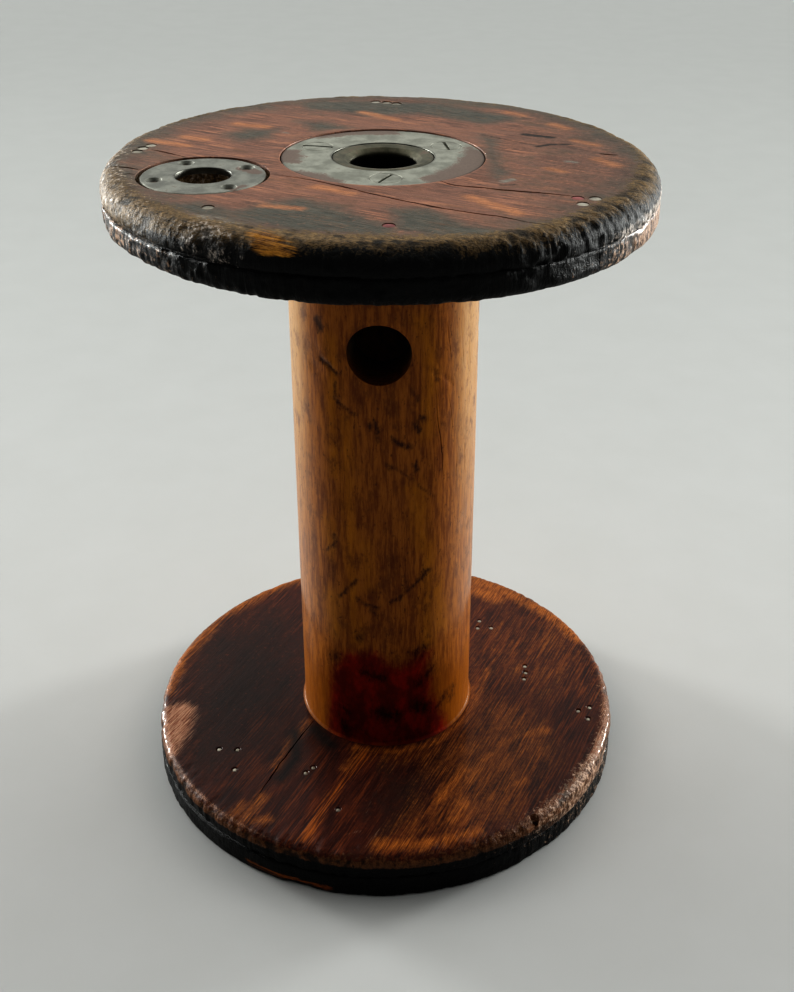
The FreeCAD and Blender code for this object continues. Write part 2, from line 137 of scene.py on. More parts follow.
def corner_number(i, j, k, seed):
    """A repeatable number from 0 to 1 for a lattice corner: its whole numbers, multiplied by large odd
    numbers and folded onto themselves, in 32 bits."""
    i, j, k = (axis.astype(np.uint32) for axis in (i, j, k))
    mixed = i * np.uint32(374761393) + j * np.uint32(668265263) + k * np.uint32(2246822519)
    mixed = mixed + np.uint32(seed * 40503 + 12345)
    mixed = (mixed ^ (mixed >> np.uint32(13))) * np.uint32(1274126177)
    mixed = (mixed ^ (mixed >> np.uint32(15))) * np.uint32(2246822519)
    return ((mixed ^ (mixed >> np.uint32(16))) & np.uint32(65535)) / 65535


def value_noise(points, seed):
    """Noise from 0 to 1: the eight corner numbers round each point, blended with 3t^2 - 2t^3."""
    whole = np.floor(points).astype(np.int64)
    part = points - whole
    part = part * part * (3 - 2 * part)
    total = np.zeros(len(points))
    for corner in itertools.product((0, 1), repeat=3):
        weight = np.where(np.array(corner) == 1, part, 1 - part).prod(axis=1)
        total += weight * corner_number(*(whole + corner).T, seed)
    return total


def noise(points, size, seed, octaves=3):
    """Octaves of value noise, each half as large and half as strong. `size` is the largest feature."""
    total = np.zeros(len(points))
    reach = 0
    for octave in range(octaves):
        share = 0.5 ** octave
        total += share * value_noise(points / (size * share) + 7.3 * octave, seed + 31 * octave)
        reach += share
    return total / reach


def ease(value, start, end):
    """A smooth step from 0 at `start` to 1 at `end`, by 3t^2 - 2t^3."""
    t = np.clip((value - start) / (end - start), 0, 1)
    return t * t * (3 - 2 * t)


def along_grain(points, azimuth, stretch):
    """The points turned so that the grain runs along the first axis, which is pressed together
    `stretch` times: noise on the result is drawn out along the grain."""
    turn = math.radians(azimuth)
    along = points[:, 0] * math.cos(turn) + points[:, 1] * math.sin(turn)
    across = points[:, 1] * math.cos(turn) - points[:, 0] * math.sin(turn)
    return np.column_stack((along / stretch, across, points[:, 2]))


# %% [markdown]
# Every wooden and metal piece of a bobbin is turned, so its surface is an outline of radius and
# height carried round an axis. Wear then moves each point along its own normal, always inwards, so
# the piece stays inside the CAD model's box.

# %% Turned surfaces


def rounded(corner_list):
    """Points along an outline of radius and height. Each corner is (radius, height, rounding, step):
    a quarter-like arc of that rounding touches both sides, and the straight run to the next corner
    is divided into equal parts no longer than the step."""
    marks = [np.array(corner[:2], float) for corner in corner_list]
    arcs = []
    for number, (here, corner) in enumerate(zip(marks, corner_list)):
        before = marks[number - 1] - here
        after = marks[(number + 1) % len(marks)] - here
        before, after = before / np.linalg.norm(before), after / np.linalg.norm(after)
        rounding, step = corner[2], corner[3]
        if rounding == 0:
            arcs.append([here])
            continue
        half_angle = math.acos(np.clip(before @ after, -1, 1)) / 2
        bisector = (before + after) / np.linalg.norm(before + after)
        middle = here + bisector * rounding / math.sin(half_angle)
        start = here + before * rounding / math.tan(half_angle) - middle
        sweep = math.pi - 2 * half_angle
        turn = np.sign(start[0] * -bisector[1] - start[1] * -bisector[0])
        count = max(2, round(rounding * sweep / step))
        angles = turn * sweep * np.linspace(0, 1, count + 1)
        arcs.append([
            middle + [start[0] * math.cos(a) - start[1] * math.sin(a),
                      start[0] * math.sin(a) + start[1] * math.cos(a)] for a in angles
        ])
    points = []
    for number, arc in enumerate(arcs):
        points += arc
        target = arcs[(number + 1) % len(arcs)][0]
        parts = max(1, round(np.linalg.norm(target - arc[-1]) / corner_list[number][3]))
        points += [arc[-1] + (target - arc[-1]) * part / parts for part in range(1, parts)]
    return np.array(points)


def turned(outline, steps, centre=(0, 0)):
    """A closed outline of radius and height, carried round an upright axis at `centre`.

    The outline runs anticlockwise, up its outer side, so the faces point outwards. Returns the
    points, their outward normals (the outline's direction turned by a quarter) and the faces."""
    rows = len(outline)
    direction = np.roll(outline, -1, axis=0) - np.roll(outline, 1, axis=0)
    direction /= np.linalg.norm(direction, axis=1)[:, None]
    turn = np.arange(steps) * 2 * math.pi / steps
    radius, height = outline[:, :1], outline[:, 1:]
    flat = np.zeros((1, steps))
    points = np.stack((
        radius * np.cos(turn) + centre[0], radius * np.sin(turn) + centre[1], height + flat,
    ), axis=2)
    outward, upward = direction[:, 1:], -direction[:, :1]
    normals = np.stack((outward * np.cos(turn), outward * np.sin(turn), upward + flat), axis=2)
    row, column = np.meshgrid(np.arange(rows), np.arange(steps), indexing="ij")
    next_row, next_column = (row + 1) % rows, (column + 1) % steps
    faces = np.stack((
        row * steps + column, row * steps + next_column,
        next_row * steps + next_column, next_row * steps + column,
    ), axis=2)
    return points.reshape(-1, 3), normals.reshape(-1, 3), [faces.reshape(-1, 4)]


def turned_solid(outline, steps, centre=(0, 0)):
    """An open outline from the axis and back to it, carried round: rings of faces between two fans."""
    turn = np.arange(steps) * 2 * math.pi / steps
    rings = np.array(outline[1:-1], float)
    flat = np.zeros((1, steps))
    points = np.stack((
        rings[:, :1] * np.cos(turn) + centre[0], rings[:, :1] * np.sin(turn) + centre[1],
        rings[:, 1:] + flat,
    ), axis=2).reshape(-1, 3)
    poles = np.array([(*centre, outline[0][1]), (*centre, outline[-1][1])], float)
    row, column = np.meshgrid(np.arange(len(rings) - 1), np.arange(steps), indexing="ij")
    following = (column + 1) % steps
    sides = np.stack((
        row * steps + column, row * steps + following,
        (row + 1) * steps + following, (row + 1) * steps + column,
    ), axis=2).reshape(-1, 4)
    edge = np.arange(steps)
    onward = (edge + 1) % steps
    count = len(points)
    low_fan = np.column_stack((np.full(steps, count), onward, edge))
    high_fan = np.column_stack((np.full(steps, count + 1), count - steps + edge, count - steps + onward))
    return np.vstack((points, poles)), [sides, low_fan, high_fan]


def join_meshes(parts):
    """The points and faces of several shapes as one."""
    starts = np.cumsum([0] + [len(points) for points, faces in parts])
    faces = [block + start for start, (points, blocks) in zip(starts, parts) for block in blocks]
    return np.vstack([points for points, blocks in parts]), faces


# %% [markdown]
# Marks are placed one by one: strokes along a path, and patches with an outline, in millimetres on a
# face or on the unrolled barrel. Each gives a field that is 0.5 on its border and falls off gently on
# both sides, because the finish adds noise to it before it cuts at 0.5, and so gets a ragged border
# that is finer than the mesh.

# %% Placed marks


def distance_to_path(places, path):
    """The distance from each place to the nearest point of a path of straight runs, in the plane."""
    nearest = np.full(len(places), np.inf)
    for start, end in zip(np.array(path[:-1], float), np.array(path[1:], float)):
        run = end - start
        share = np.clip((places - start) @ run / (run @ run), 0, 1)
        nearest = np.minimum(nearest, np.linalg.norm(places - start - share[:, None] * run, axis=1))
    return nearest


def strokes(places, marks, reach):
    """The field of strokes, each a path and half its width: 0.5 on a border, and 0 or 1 the reach
    away from it."""
    inside = np.full(len(places), -np.inf)
    for path, half_width in marks:
        inside = np.maximum(inside, half_width - distance_to_path(places, path))
    return (0.5 + inside / (2 * reach)).clip(0, 1)


def patches(places, outlines, reach):
    """The field of patches, each a closed outline. A place is inside if a line from it to the right
    crosses the outline an odd number of times."""
    inside = np.full(len(places), -np.inf)
    x, y = places.T
    for outline in outlines:
        ring = [*outline, outline[0]]
        odd = np.zeros(len(places), bool)
        for start, end in zip(ring[:-1], ring[1:]):
            if start[1] != end[1]:
                between = (start[1] > y) != (end[1] > y)
                crossing = start[0] + (y - start[1]) / (end[1] - start[1]) * (end[0] - start[0])
                odd ^= between & (x < crossing)
        distance = distance_to_path(places, ring)
        inside = np.maximum(inside, np.where(odd, distance, -distance))
    return (0.5 + inside / (2 * reach)).clip(0, 1)


# %% [markdown]
# A piece is one mesh object. Holes, slots and cracks are cut from it with closed cutters, by an exact
# boolean, so they are real shape. Masks painted on the vertices tell the finish what lies where.

# %% Pieces and cutters


def new_object(name, points, faces):
    """An object from points in millimetres. Its place is in its mesh."""
    mesh = bpy.data.meshes.new(name)
    mesh.from_pydata((points * MM).tolist(), [], [face for block in faces for face in block.tolist()])
    piece = bpy.data.objects.new(name, mesh)
    bpy.context.scene.collection.objects.link(piece)
    return piece


def cutter(name, parts):
    """A closed cutter of several shapes that don't overlap, with its faces turned outwards."""
    tool = new_object(name, *join_meshes(parts))
    shape = bmesh.new()
    shape.from_mesh(tool.data)
    bmesh.ops.recalc_face_normals(shape, faces=shape.faces)
    shape.to_mesh(tool.data)
    shape.free()
    return tool


def carve(piece, tool):
    """Take the cutter's volume away from the piece."""
    modifier = piece.modifiers.new("carve", "BOOLEAN")
    modifier.operation = "DIFFERENCE"
    modifier.solver = "EXACT"
    modifier.object = tool
    carved = bpy.data.meshes.new_from_object(piece.evaluated_get(bpy.context.evaluated_depsgraph_get()))
    print(f"{tool.name} leaves {piece.name} {len(carved.polygons)} of {len(piece.data.polygons)} faces")
    piece.modifiers.clear()
    old = piece.data
    piece.data = carved
    bpy.data.meshes.remove(old)
    bpy.data.objects.remove(tool)


def places_of(piece):
    """The piece's vertices, in millimetres."""
    places = np.empty(len(piece.data.vertices) * 3)
    piece.data.vertices.foreach_get("co", places)
    return places.reshape(-1, 3) / MM


def paint(piece, **masks):
    """Store masks, one number per vertex, as attributes that the finish reads."""
    for name, values in masks.items():
        attribute = piece.data.attributes.new(name, "FLOAT", "POINT")
        attribute.data.foreach_set("value", np.clip(values, 0, 1).astype(np.float32))


def hand_over(piece, finish, slot, *nodes, crease=40):
    """Give the piece its finish, let it ride on the bobbin and hide the nodes that it stands for."""
    piece.data.materials.clear()
    piece.data.materials.append(finish)
    piece.data.shade_smooth()
    piece.data.set_sharp_from_angle(angle=math.radians(crease))
    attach(piece, "root")
    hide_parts(*nodes)
    print(f"{piece.name}: {len(piece.data.vertices)} vertices, {len(piece.data.polygons)} faces")


# %% [markdown]
# A finish is a small program of nodes. To write its maths as Python, one class wraps a socket and
# gives it the operators: each adds a Math node. Colours go through Mix nodes, because a Math node
# would turn them grey. Every other node comes from one method.

# %% Shader maths


class Number:
    """A shader value. An operator on it adds a Math node and gives the result."""

    def __init__(self, finish, socket):
        self.finish = finish
        self.socket = socket

    def math(self, operation, first, second):
        """A new Math node's result, from numbers or from values like this one."""
        node = self.finish.node("ShaderNodeMath", {"operation": operation}, {0: first, 1: second})
        return Number(self.finish, node.outputs[0])

    def __add__(self, other):
        return self.math("ADD", self, other)

    __radd__ = __add__

    def __sub__(self, other):
        return self.math("SUBTRACT", self, other)

    def __rsub__(self, other):
        return self.math("SUBTRACT", other, self)

    def __mul__(self, other):
        return self.math("MULTIPLY", self, other)

    __rmul__ = __mul__

    def __pow__(self, other):
        return self.math("POWER", self, other)

    def __rpow__(self, other):
        return self.math("POWER", other, self)


class Finish:
    """The node tree of a material or of the world."""

    def __init__(self, owner):
        owner.use_nodes = True
        self.owner = owner
        self.tree = owner.node_tree
        self.tree.nodes.clear()

    def node(self, kind, settings=None, sockets=None):
        """A new node: its settings first, then the values or links of its sockets."""
        node = self.tree.nodes.new(kind)
        for name, value in (settings or {}).items():
            setattr(node, name, value)
        for name, value in (sockets or {}).items():
            if isinstance(value, Number):
                self.tree.links.new(value.socket, node.inputs[name])
            elif isinstance(value, bpy.types.NodeSocket):
                self.tree.links.new(value, node.inputs[name])
            elif isinstance(value, tuple) and len(value) == 3 and node.inputs[name].type == "RGBA":
                node.inputs[name].default_value = (*value, 1)
            else:
                node.inputs[name].default_value = value
        return node

    def place(self):
        """The place on the object, in metres."""
        return self.node("ShaderNodeTexCoord").outputs["Object"]

    def grain(self, azimuth, length, width, height=None):
        """Object coordinates in steps of the grain: so long along it, so wide across it, so high."""
        return self.node(
            "ShaderNodeMapping", {"vector_type": "TEXTURE"},
            {"Vector": self.place(), "Rotation": (0, 0, math.radians(azimuth)),
             "Scale": (length * MM, width * MM, (height or width) * MM)},
        ).outputs[0]

    def noise(self, vector, detail=3.0, roughness=0.55, distortion=0.0, scale=1.0):
        """Noise about 0.5, with features as large as the vector's steps."""
        node = self.node(
            "ShaderNodeTexNoise", {},
            {"Vector": vector, "Scale": scale, "Detail": detail, "Roughness": roughness,
             "Distortion": distortion},
        )
        return Number(self, node.outputs[0])

    def mask(self, name):
        """A mask painted on the piece's vertices."""
        return Number(self, self.node("ShaderNodeAttribute", {"attribute_name": name}).outputs["Fac"])

    def step(self, value, start, end, low=0.0, high=1.0):
        """A smooth step of the value, from `low` at the start to `high` at the end."""
        node = self.node(
            "ShaderNodeMapRange", {"interpolation_type": "SMOOTHSTEP"},
            {"Value": value, "From Min": start, "From Max": end, "To Min": low, "To Max": high},
        )
        return Number(self, node.outputs[0])

    def ragged(self, mask, pattern, reach=0.6, softness=0.12):
        """A mask whose border follows a pattern: it spreads where the pattern is high."""
        return self.step(mask + (pattern - 0.5) * reach, 0.5 - softness, 0.5 + softness)

    def blend(self, share, first, second):
        """A colour from the first to the second by the share."""
        return self.node("ShaderNodeMix", {"data_type": "RGBA"}, {0: share, 6: first, 7: second}).outputs[2]

    def bump(self, height, distance, strength=1.0, normal=None):
        """A relief of the height, as deep as the distance in millimetres."""
        sockets = {"Height": height, "Distance": distance * MM, "Strength": strength}
        if normal:
            sockets["Normal"] = normal
        return self.node("ShaderNodeBump", {}, sockets).outputs[0]

    def surface(self, sockets):
        """The Principled shader and the output."""
        shader = self.node("ShaderNodeBsdfPrincipled", {}, sockets)
        self.node("ShaderNodeOutputMaterial", {}, {"Surface": shader.outputs[0]})
        return self.owner


def new_finish(name):
    """A new material, still without its shader."""
    return Finish(bpy.data.materials.new(name))


def colour(red, green, blue):
    """A colour as a picture shows it, from 0 to 255, as the light values that shaders use."""
    shares = np.array((red, green, blue)) / 255
    linear = np.where(shares <= 0.04045, shares / 12.92, ((shares + 0.055) / 1.055) ** 2.4)
    return tuple(float(share) for share in linear)

# %% [markdown]
# The camera stands half a metre in front and looks down at the bobbin. Its place and turn were
# worked out from the ellipses of the two heads, in millimetres and degrees.

# %% Camera
CAMERA_PLACE = (26.23, -446.96, 389.81)
CAMERA_DOWN = math.radians(26.97)
CAMERA_ROLL = math.radians(1.085)
PICTURE = (794, 992)
FOCAL_LENGTH = 1243.35
VIEW_CENTRE = (450.1, 409.2)
SENSOR = 36

forward = Vector((0, math.cos(CAMERA_DOWN), -math.sin(CAMERA_DOWN)))
level_right = Vector((1, 0, 0))
level_up = level_right.cross(forward)
right = level_right * math.cos(CAMERA_ROLL) + level_up * math.sin(CAMERA_ROLL)
up = level_up * math.cos(CAMERA_ROLL) - level_right * math.sin(CAMERA_ROLL)
lens = bpy.data.cameras.new("camera")
lens.sensor_width = SENSOR
lens.lens = FOCAL_LENGTH * SENSOR / max(PICTURE)
lens.shift_x = (PICTURE[0] / 2 - VIEW_CENTRE[0]) / max(PICTURE)
lens.shift_y = (VIEW_CENTRE[1] - PICTURE[1] / 2) / max(PICTURE)
lens.clip_start = 0.01
camera = bpy.data.objects.new("camera", lens)
bpy.context.scene.collection.objects.link(camera)
turn = Matrix((right, up, -forward)).transposed().to_4x4()
camera.matrix_world = Matrix.Translation(Vector(CAMERA_PLACE) * MM) @ turn
bpy.context.scene.camera = camera
print(f"lens {lens.lens:.1f} mm, shift {lens.shift_x:.3f}, {lens.shift_y:.3f}")

# %% [markdown]
# The light is that of a white tent with a dark room in front of it, so the shadow falls forwards.
# The world's shader makes the tent of soft lobes. Each is brightest in one direction and falls off
# round it as e to the power of the spread times (cosine - 1). Six small lamps add the sharper gleams
# on metal and varnish, and two low ones light the barrel's sides and the rims. The picture is shown
# in the Standard view with high contrast, as a telephone's camera would make it.

# %% Light and floor
bpy.context.scene.view_settings.view_transform = "Standard"
bpy.context.scene.view_settings.look = "High Contrast"

# Azimuth from straight behind towards the right, elevation and strength of each lobe.
LOBES = [
    (45, 40, 1.24), (-45, 40, 1.24), (90, 8, 0.22), (-90, 8, 0.22), (180, 40, 0.15),
]
LOBE_SPREAD = 6
BACKDROP = 0.41
LIGHT_COLOUR = (0.98, 1.0, 0.98)


def towards(azimuth, elevation):
    """A direction, from its azimuth and elevation in degrees."""
    azimuth, elevation = math.radians(azimuth), math.radians(elevation)
    level = math.cos(elevation)
    return (math.sin(azimuth) * level, math.cos(azimuth) * level, math.sin(elevation))


world = bpy.data.worlds.new("tent")
bpy.context.scene.world = world
tent = Finish(world)
direction = tent.node("ShaderNodeTexCoord").outputs["Generated"]
tent_light = 0.0
for azimuth, elevation, strength in LOBES:
    cosine = tent.node(
        "ShaderNodeVectorMath", {"operation": "DOT_PRODUCT"}, {0: direction, 1: towards(azimuth, elevation)},
    ).outputs["Value"]
    tent_light = tent_light + math.e ** ((Number(tent, cosine) - 1) * LOBE_SPREAD) * strength
seen = tent.node("ShaderNodeLightPath").outputs["Is Camera Ray"]
brightness = tent.node(
    "ShaderNodeMix", {"data_type": "FLOAT"}, {0: seen, 2: tent_light, 3: BACKDROP},
).outputs[0]
background = tent.node("ShaderNodeBackground", {}, {"Color": LIGHT_COLOUR, "Strength": brightness})
tent.node("ShaderNodeOutputWorld", {}, {"Surface": background.outputs[0]})


def soft_light(name, place, aim, size, power):
    """A square soft light, its place and size in metres, turned to its aim."""
    lamp = bpy.data.lights.new(name, "AREA")
    lamp.shape = "SQUARE"
    lamp.size = size
    lamp.energy = power
    lamp.color = LIGHT_COLOUR
    light = bpy.data.objects.new(name, lamp)
    bpy.context.scene.collection.objects.link(light)
    aimed = (Vector(aim) - Vector(place)).to_track_quat("-Z", "Y").to_matrix().to_4x4()
    light.matrix_world = Matrix.Translation(place) @ aimed


for side, name in ((-1, "left"), (1, "right")):
    soft_light(f"{name}_light", (side * 0.94, 0.5, 0.85), (0, 0, 0.1), 0.45, 0.7)
    soft_light(f"{name}_side_light", (side * 1.05, 0.19, 0.85), (0, 0, 0.1), 0.45, 0.4)
    soft_light(f"{name}_gleam", (side * 0.85, 0.95, 0.7), (0, 0, 0.1), 0.14, 0.4)

# Two broad, low lights from the sides behind. They hardly reach the floor and the faces, but make the
# barrel's sides and the rims bright.
LOW_AZIMUTH, LOW_ELEVATION = 58, 3
LOW_SPREAD = math.radians(12)
LOW_POWER = 4.6
for side, name in ((-1, "low_left"), (1, "low_right")):
    lamp = bpy.data.lights.new(name, "SUN")
    lamp.energy = LOW_POWER
    lamp.angle = LOW_SPREAD
    lamp.color = LIGHT_COLOUR
    light = bpy.data.objects.new(name, lamp)
    bpy.context.scene.collection.objects.link(light)
    shine = Vector(towards(side * LOW_AZIMUTH, LOW_ELEVATION))
    light.rotation_euler = shine.to_track_quat("Z", "Y").to_euler()

FLOOR_RADIUS = 8000
floor = new_object("floor", *turned_solid(
    [(0, -1.0), (FLOOR_RADIUS, -1.0), (FLOOR_RADIUS, -0.02), (0, -0.02)], 96,
))
paper = new_finish("floor_paper")
fibre = paper.noise(paper.grain(0, 40, 40), detail=4)
near_paper = paper.blend(fibre, colour(203, 203, 201), colour(209, 209, 208))
# Further back the paper is painted darker: painted shade where the light falls off.
far_paper = paper.blend(fibre, colour(190, 191, 189), colour(196, 197, 195))
away = Number(paper, paper.node("ShaderNodeSeparateXYZ", {}, {0: paper.place()}).outputs["Y"])
paper_tone = paper.blend(paper.step(away, -0.1, 0.9), near_paper, far_paper)
floor.data.materials.append(paper.surface({
    "Base Color": paper_tone,
    "Roughness": 0.75,
    "Specular IOR Level": 0.2,
}))
print(f"{len(LOBES)} lobes of light, {len(bpy.data.lights)} lamps")

# %% [markdown]
# The heads. Each board is a disc of thick plank with its own direction of grain. Years of knocks have
# worn its rim to rough fibre, deepest where the end grain meets the rim. The rim is fine enough for
# that wear to be real shape, and the nearly flat faces are coarser.

# %% Boards of the heads
BOARD_STEPS = 960
EDGE_BAND = HEAD_RADIUS - 16
OUTER_GRAIN = -25
INNER_GRAIN = 66
GAP_AZIMUTH = 192


def azimuth_of(points):
    """The way round to each point, in degrees from the right."""
    return np.degrees(np.arctan2(points[:, 1], points[:, 0]))


def near_azimuth(points, azimuth, spread):
    """1 at one azimuth, falling off on both sides as a bell curve of that spread, in degrees."""
    away = (azimuth_of(points) - azimuth + 180) % 360 - 180
    return np.exp(-(away / spread) ** 2)


def end_grain(points, grain):
    """From 0 where the rim runs with the grain to 1 where the grain ends in it."""
    return np.cos(np.radians(azimuth_of(points) - grain)) ** 2


def rim_streaks(points):
    """The points with each line from the rim's underside over its edge to the face pressed together,
    so that noise on them makes streaks across the rim."""
    radius = np.hypot(points[:, 0], points[:, 1])
    around = points[:, :2] / radius[:, None] * HEAD_RADIUS
    return np.column_stack((around, (points[:, 2] - radius) * 0.22))


def rim_relief(points, grain, seed):
    """The fine relief of a worn rim, from 0 for the ridges to 1 for the deepest pits."""
    ends = end_grain(points, grain)
    streaks = noise(rim_streaks(points), 1.9, seed + 5, octaves=2)
    pits = ease(noise(along_grain(points, grain, 2.6), 5.0, seed + 1), 0.46, 0.8)
    crumbs = noise(points, 1.9, seed + 6, octaves=2)
    relief = ease(streaks, 0.3, 0.75) * (0.15 + 0.3 * ends) + 0.5 * pits + 0.5 * crumbs
    return ease(relief, 0.1, 1.0)


def rim_wear(points, grain, glue_level, depth, seed):
    """How deep a board has worn, in millimetres: broad dents, the fine relief, and a groove at the
    glue line, which gapes at the left. Slow waves and fine fibre lie on the faces."""
    radius = np.hypot(points[:, 0], points[:, 1])
    near_rim = ease(radius, HEAD_RADIUS - 11, HEAD_RADIUS - 3)
    dents = ease(noise(points, 26, seed), 0.4, 0.85)
    gape = near_azimuth(points, GAP_AZIMUTH, 38)
    at_glue = np.exp(-((points[:, 2] - glue_level) / 0.75) ** 2) * ease(radius, HEAD_RADIUS - 6, HEAD_RADIUS)
    groove = at_glue * (0.1 + 0.3 * noise(points, 14, seed + 4) + 1.3 * gape)
    waves = 0.25 * noise(points, 45, seed + 3, octaves=2)
    fibre = 0.12 * noise(along_grain(points, grain, 9), 3.0, seed + 7, octaves=2)
    rim = 0.6 * dents + depth * rim_relief(points, grain, seed)
    return near_rim * rim + groove + (1 - near_rim) * (waves + fibre)


def make_board(name, outline, grain, glue_level, depth, seed):
    """One board: the turned outline with its wear taken off.

    On the faces the wear goes straight in. Round the rim it goes towards a ring inside the board,
    because lines to one ring never cross, and so the deepest pits can't fold the surface over."""
    points, normals, faces = turned(rounded(outline), BOARD_STEPS)
    radius = np.hypot(points[:, 0], points[:, 1])
    middle = (points[:, 2].min() + points[:, 2].max()) / 2
    inwards = np.column_stack((
        points[:, 0] / radius * (EDGE_BAND - radius), points[:, 1] / radius * (EDGE_BAND - radius),
        middle - points[:, 2],
    ))
    inwards /= np.linalg.norm(inwards, axis=1)[:, None]
    share = ease(radius, EDGE_BAND + 1, EDGE_BAND + 9)[:, None]
    way = inwards * share - normals * (1 - share)
    worn = rim_wear(points, grain, glue_level, depth, seed)
    worn *= ease(radius, PLATE_RECESS + 1, PLATE_RECESS + 8)
    glued = np.abs(points[:, 2] - glue_level) < 0.01
    worn *= np.where(glued, 0.3 * ease(radius, EDGE_BAND, HEAD_RADIUS), 1)
    board = new_object(name, points + way * worn[:, None], faces)
    paint(board, pit=rim_relief(points, grain, seed))
    return board


FACE_STEP, RIM_STEP, HIDDEN_STEP = 1.15, 0.62, 6
PLATE_SEAT = PLATE_LOW[2]


def outer_outline(edge_rounding):
    """The upper outer board's outline, from its hole round to the plate's recess."""
    return [
        (TENON_HOLE, UPPER_GLUE, 0, HIDDEN_STEP),
        (EDGE_BAND, UPPER_GLUE, 0, 3.0),
        (HEAD_RADIUS, UPPER_GLUE, GLUE_EDGE, RIM_STEP),
        (HEAD_RADIUS, UPPER_FACE, edge_rounding, RIM_STEP),
        (EDGE_BAND, UPPER_FACE, 0, FACE_STEP),
        (PLATE_RECESS, UPPER_FACE, 0.3, 1.0),
        (PLATE_RECESS, PLATE_SEAT, 0, 2.0),
        (TENON_HOLE, PLATE_SEAT, 0, 2.0),
    ]


def inner_outline(low, high, low_rounding, high_rounding, low_step, high_step):
    """An inner board's outline: a plain disc with a hole, rounded at its rim."""
    return [
        (TENON_HOLE, low, 0, low_step),
        (EDGE_BAND, low, 0, min(low_step, 3.0)),
        (HEAD_RADIUS, low, low_rounding, RIM_STEP),
        (HEAD_RADIUS, high, high_rounding, RIM_STEP),
        (EDGE_BAND, high, 0, high_step),
        (TENON_HOLE, high, 0, 2.0),
    ]


def turned_over(outline, height):
    """The same outline upside down: heights measured from the other face, in the other order."""
    flipped = [(radius, height - level, rounding) for radius, level, rounding, step in outline]
    steps = [corner[3] for corner in outline]
    steps = steps[-1:] + steps[:-1]
    return [(*corner, step) for corner, step in zip(flipped[::-1], steps[::-1])]


UPPER_EDGE = 7.4
LOWER_EDGE = 1.2
INNER_EDGE = 3.8
GLUE_EDGE = 0.35
upper_outer = make_board(
    "upper_outer_board", outer_outline(UPPER_EDGE), OUTER_GRAIN, UPPER_GLUE, 0.8, 11,
)
upper_inner = make_board(
    "upper_inner_board",
    inner_outline(UPPER_INNER_FACE, UPPER_GLUE, INNER_EDGE, GLUE_EDGE, 2.4, HIDDEN_STEP),
    INNER_GRAIN, UPPER_GLUE, 0.7, 23,
)
lower_inner = make_board(
    "lower_inner_board",
    inner_outline(LOWER_GLUE, LOWER_INNER_FACE, GLUE_EDGE, INNER_EDGE, HIDDEN_STEP, FACE_STEP),
    INNER_GRAIN, LOWER_GLUE, 0.7, 37,
)
lower_outer = make_board(
    "lower_outer_board", turned_over(outer_outline(LOWER_EDGE), UPPER_FACE), OUTER_GRAIN, LOWER_GLUE,
    0.45, 53,
)

# %% [markdown]
# The driving hole, its recess and the nails' seats are round cutters. The cracks are cut with thin
# wavy wedges, widest in the middle and drawn out to nothing at both ends, as drying wood splits.

# %% Holes and cracks in the boards


def crack_blade(path, width, depth, seed):
    """A wedge along a path, on the level 0 of a flat face: its width swells as the root of sin, its
    lower edge is a line at the depth, and noise makes it waver."""
    path = np.array(path, float)
    mileage = np.concatenate(([0], np.cumsum(np.linalg.norm(np.diff(path, axis=0), axis=1))))
    count = max(6, int(mileage[-1] / 1.6))
    along = np.linspace(0, mileage[-1], count)
    middle = np.column_stack([np.interp(along, mileage, path[:, axis]) for axis in (0, 1)])
    direction = np.gradient(middle, axis=0)
    direction /= np.linalg.norm(direction, axis=1)[:, None]
    side = np.column_stack((-direction[:, 1], direction[:, 0]))
    at = np.column_stack((along / 4.5, np.full(count, seed * 1.7), np.zeros(count)))
    waver = (noise(at, 1.0, seed) - 0.5) * 1.3
    swell = np.sin(np.linspace(0, math.pi, count)) ** 0.5
    swell = swell * (0.55 + 0.9 * noise(at + 50, 1.0, seed))
    middle = middle + side * waver[:, None]
    half = side * (swell * width / 2)[:, None]
    above = np.full((count, 1), 2.0)
    left = np.hstack((middle + half, above))
    right = np.hstack((middle - half, above))
    bottom = np.hstack((middle, -depth * swell[:, None].clip(0.3)))
    rings = np.stack((left, right, bottom), axis=1)[1:-1]
    points = np.vstack((rings.reshape(-1, 3), left[:1], left[-1:]))
    ring, edge = np.meshgrid(np.arange(count - 3), np.arange(3), indexing="ij")
    one, two = ring * 3 + edge, ring * 3 + (edge + 1) % 3
    sides = np.stack((one, two, two + 3, one + 3), axis=2).reshape(-1, 4)
    corner = np.arange(3)
    onward = (corner + 1) % 3
    first = 3 * (count - 2)
    last_ring = first - 3
    ends = np.vstack((
        np.column_stack((np.full(3, first), onward, corner)),
        np.column_stack((np.full(3, first + 1), last_ring + corner, last_ring + onward)),
    ))
    return points, [sides, ends]


def cracks_at(level, cracks):
    """The blades of several cracks, raised to the level of their face."""
    blades = [crack_blade(*crack) for crack in cracks]
    return [(points + (0, 0, level), faces) for points, faces in blades]


NAIL_RADIUS = 2.2
SEAT_RADIUS = NAIL_RADIUS + 0.07
SEAT_DEPTH = 0.9
DIMPLE_RADIUS = 1.9
DRIVE_SEAT = DRIVE_LOW[2]
WOOD_HOLE = DRIVE_BORE + 0.5


def middles(node):
    """Where a node's solids stand, in the plane."""
    return [(low + high)[:2] / 2 for low, high in shells(node)]


def seats(places, radius, low, high, foot=None):
    """Round seats from one level to another, with a foot of another radius."""
    foot = radius if foot is None else foot
    return [turned_solid([(0, low), (foot, low), (radius, high), (0, high)], 20, place) for place in places]


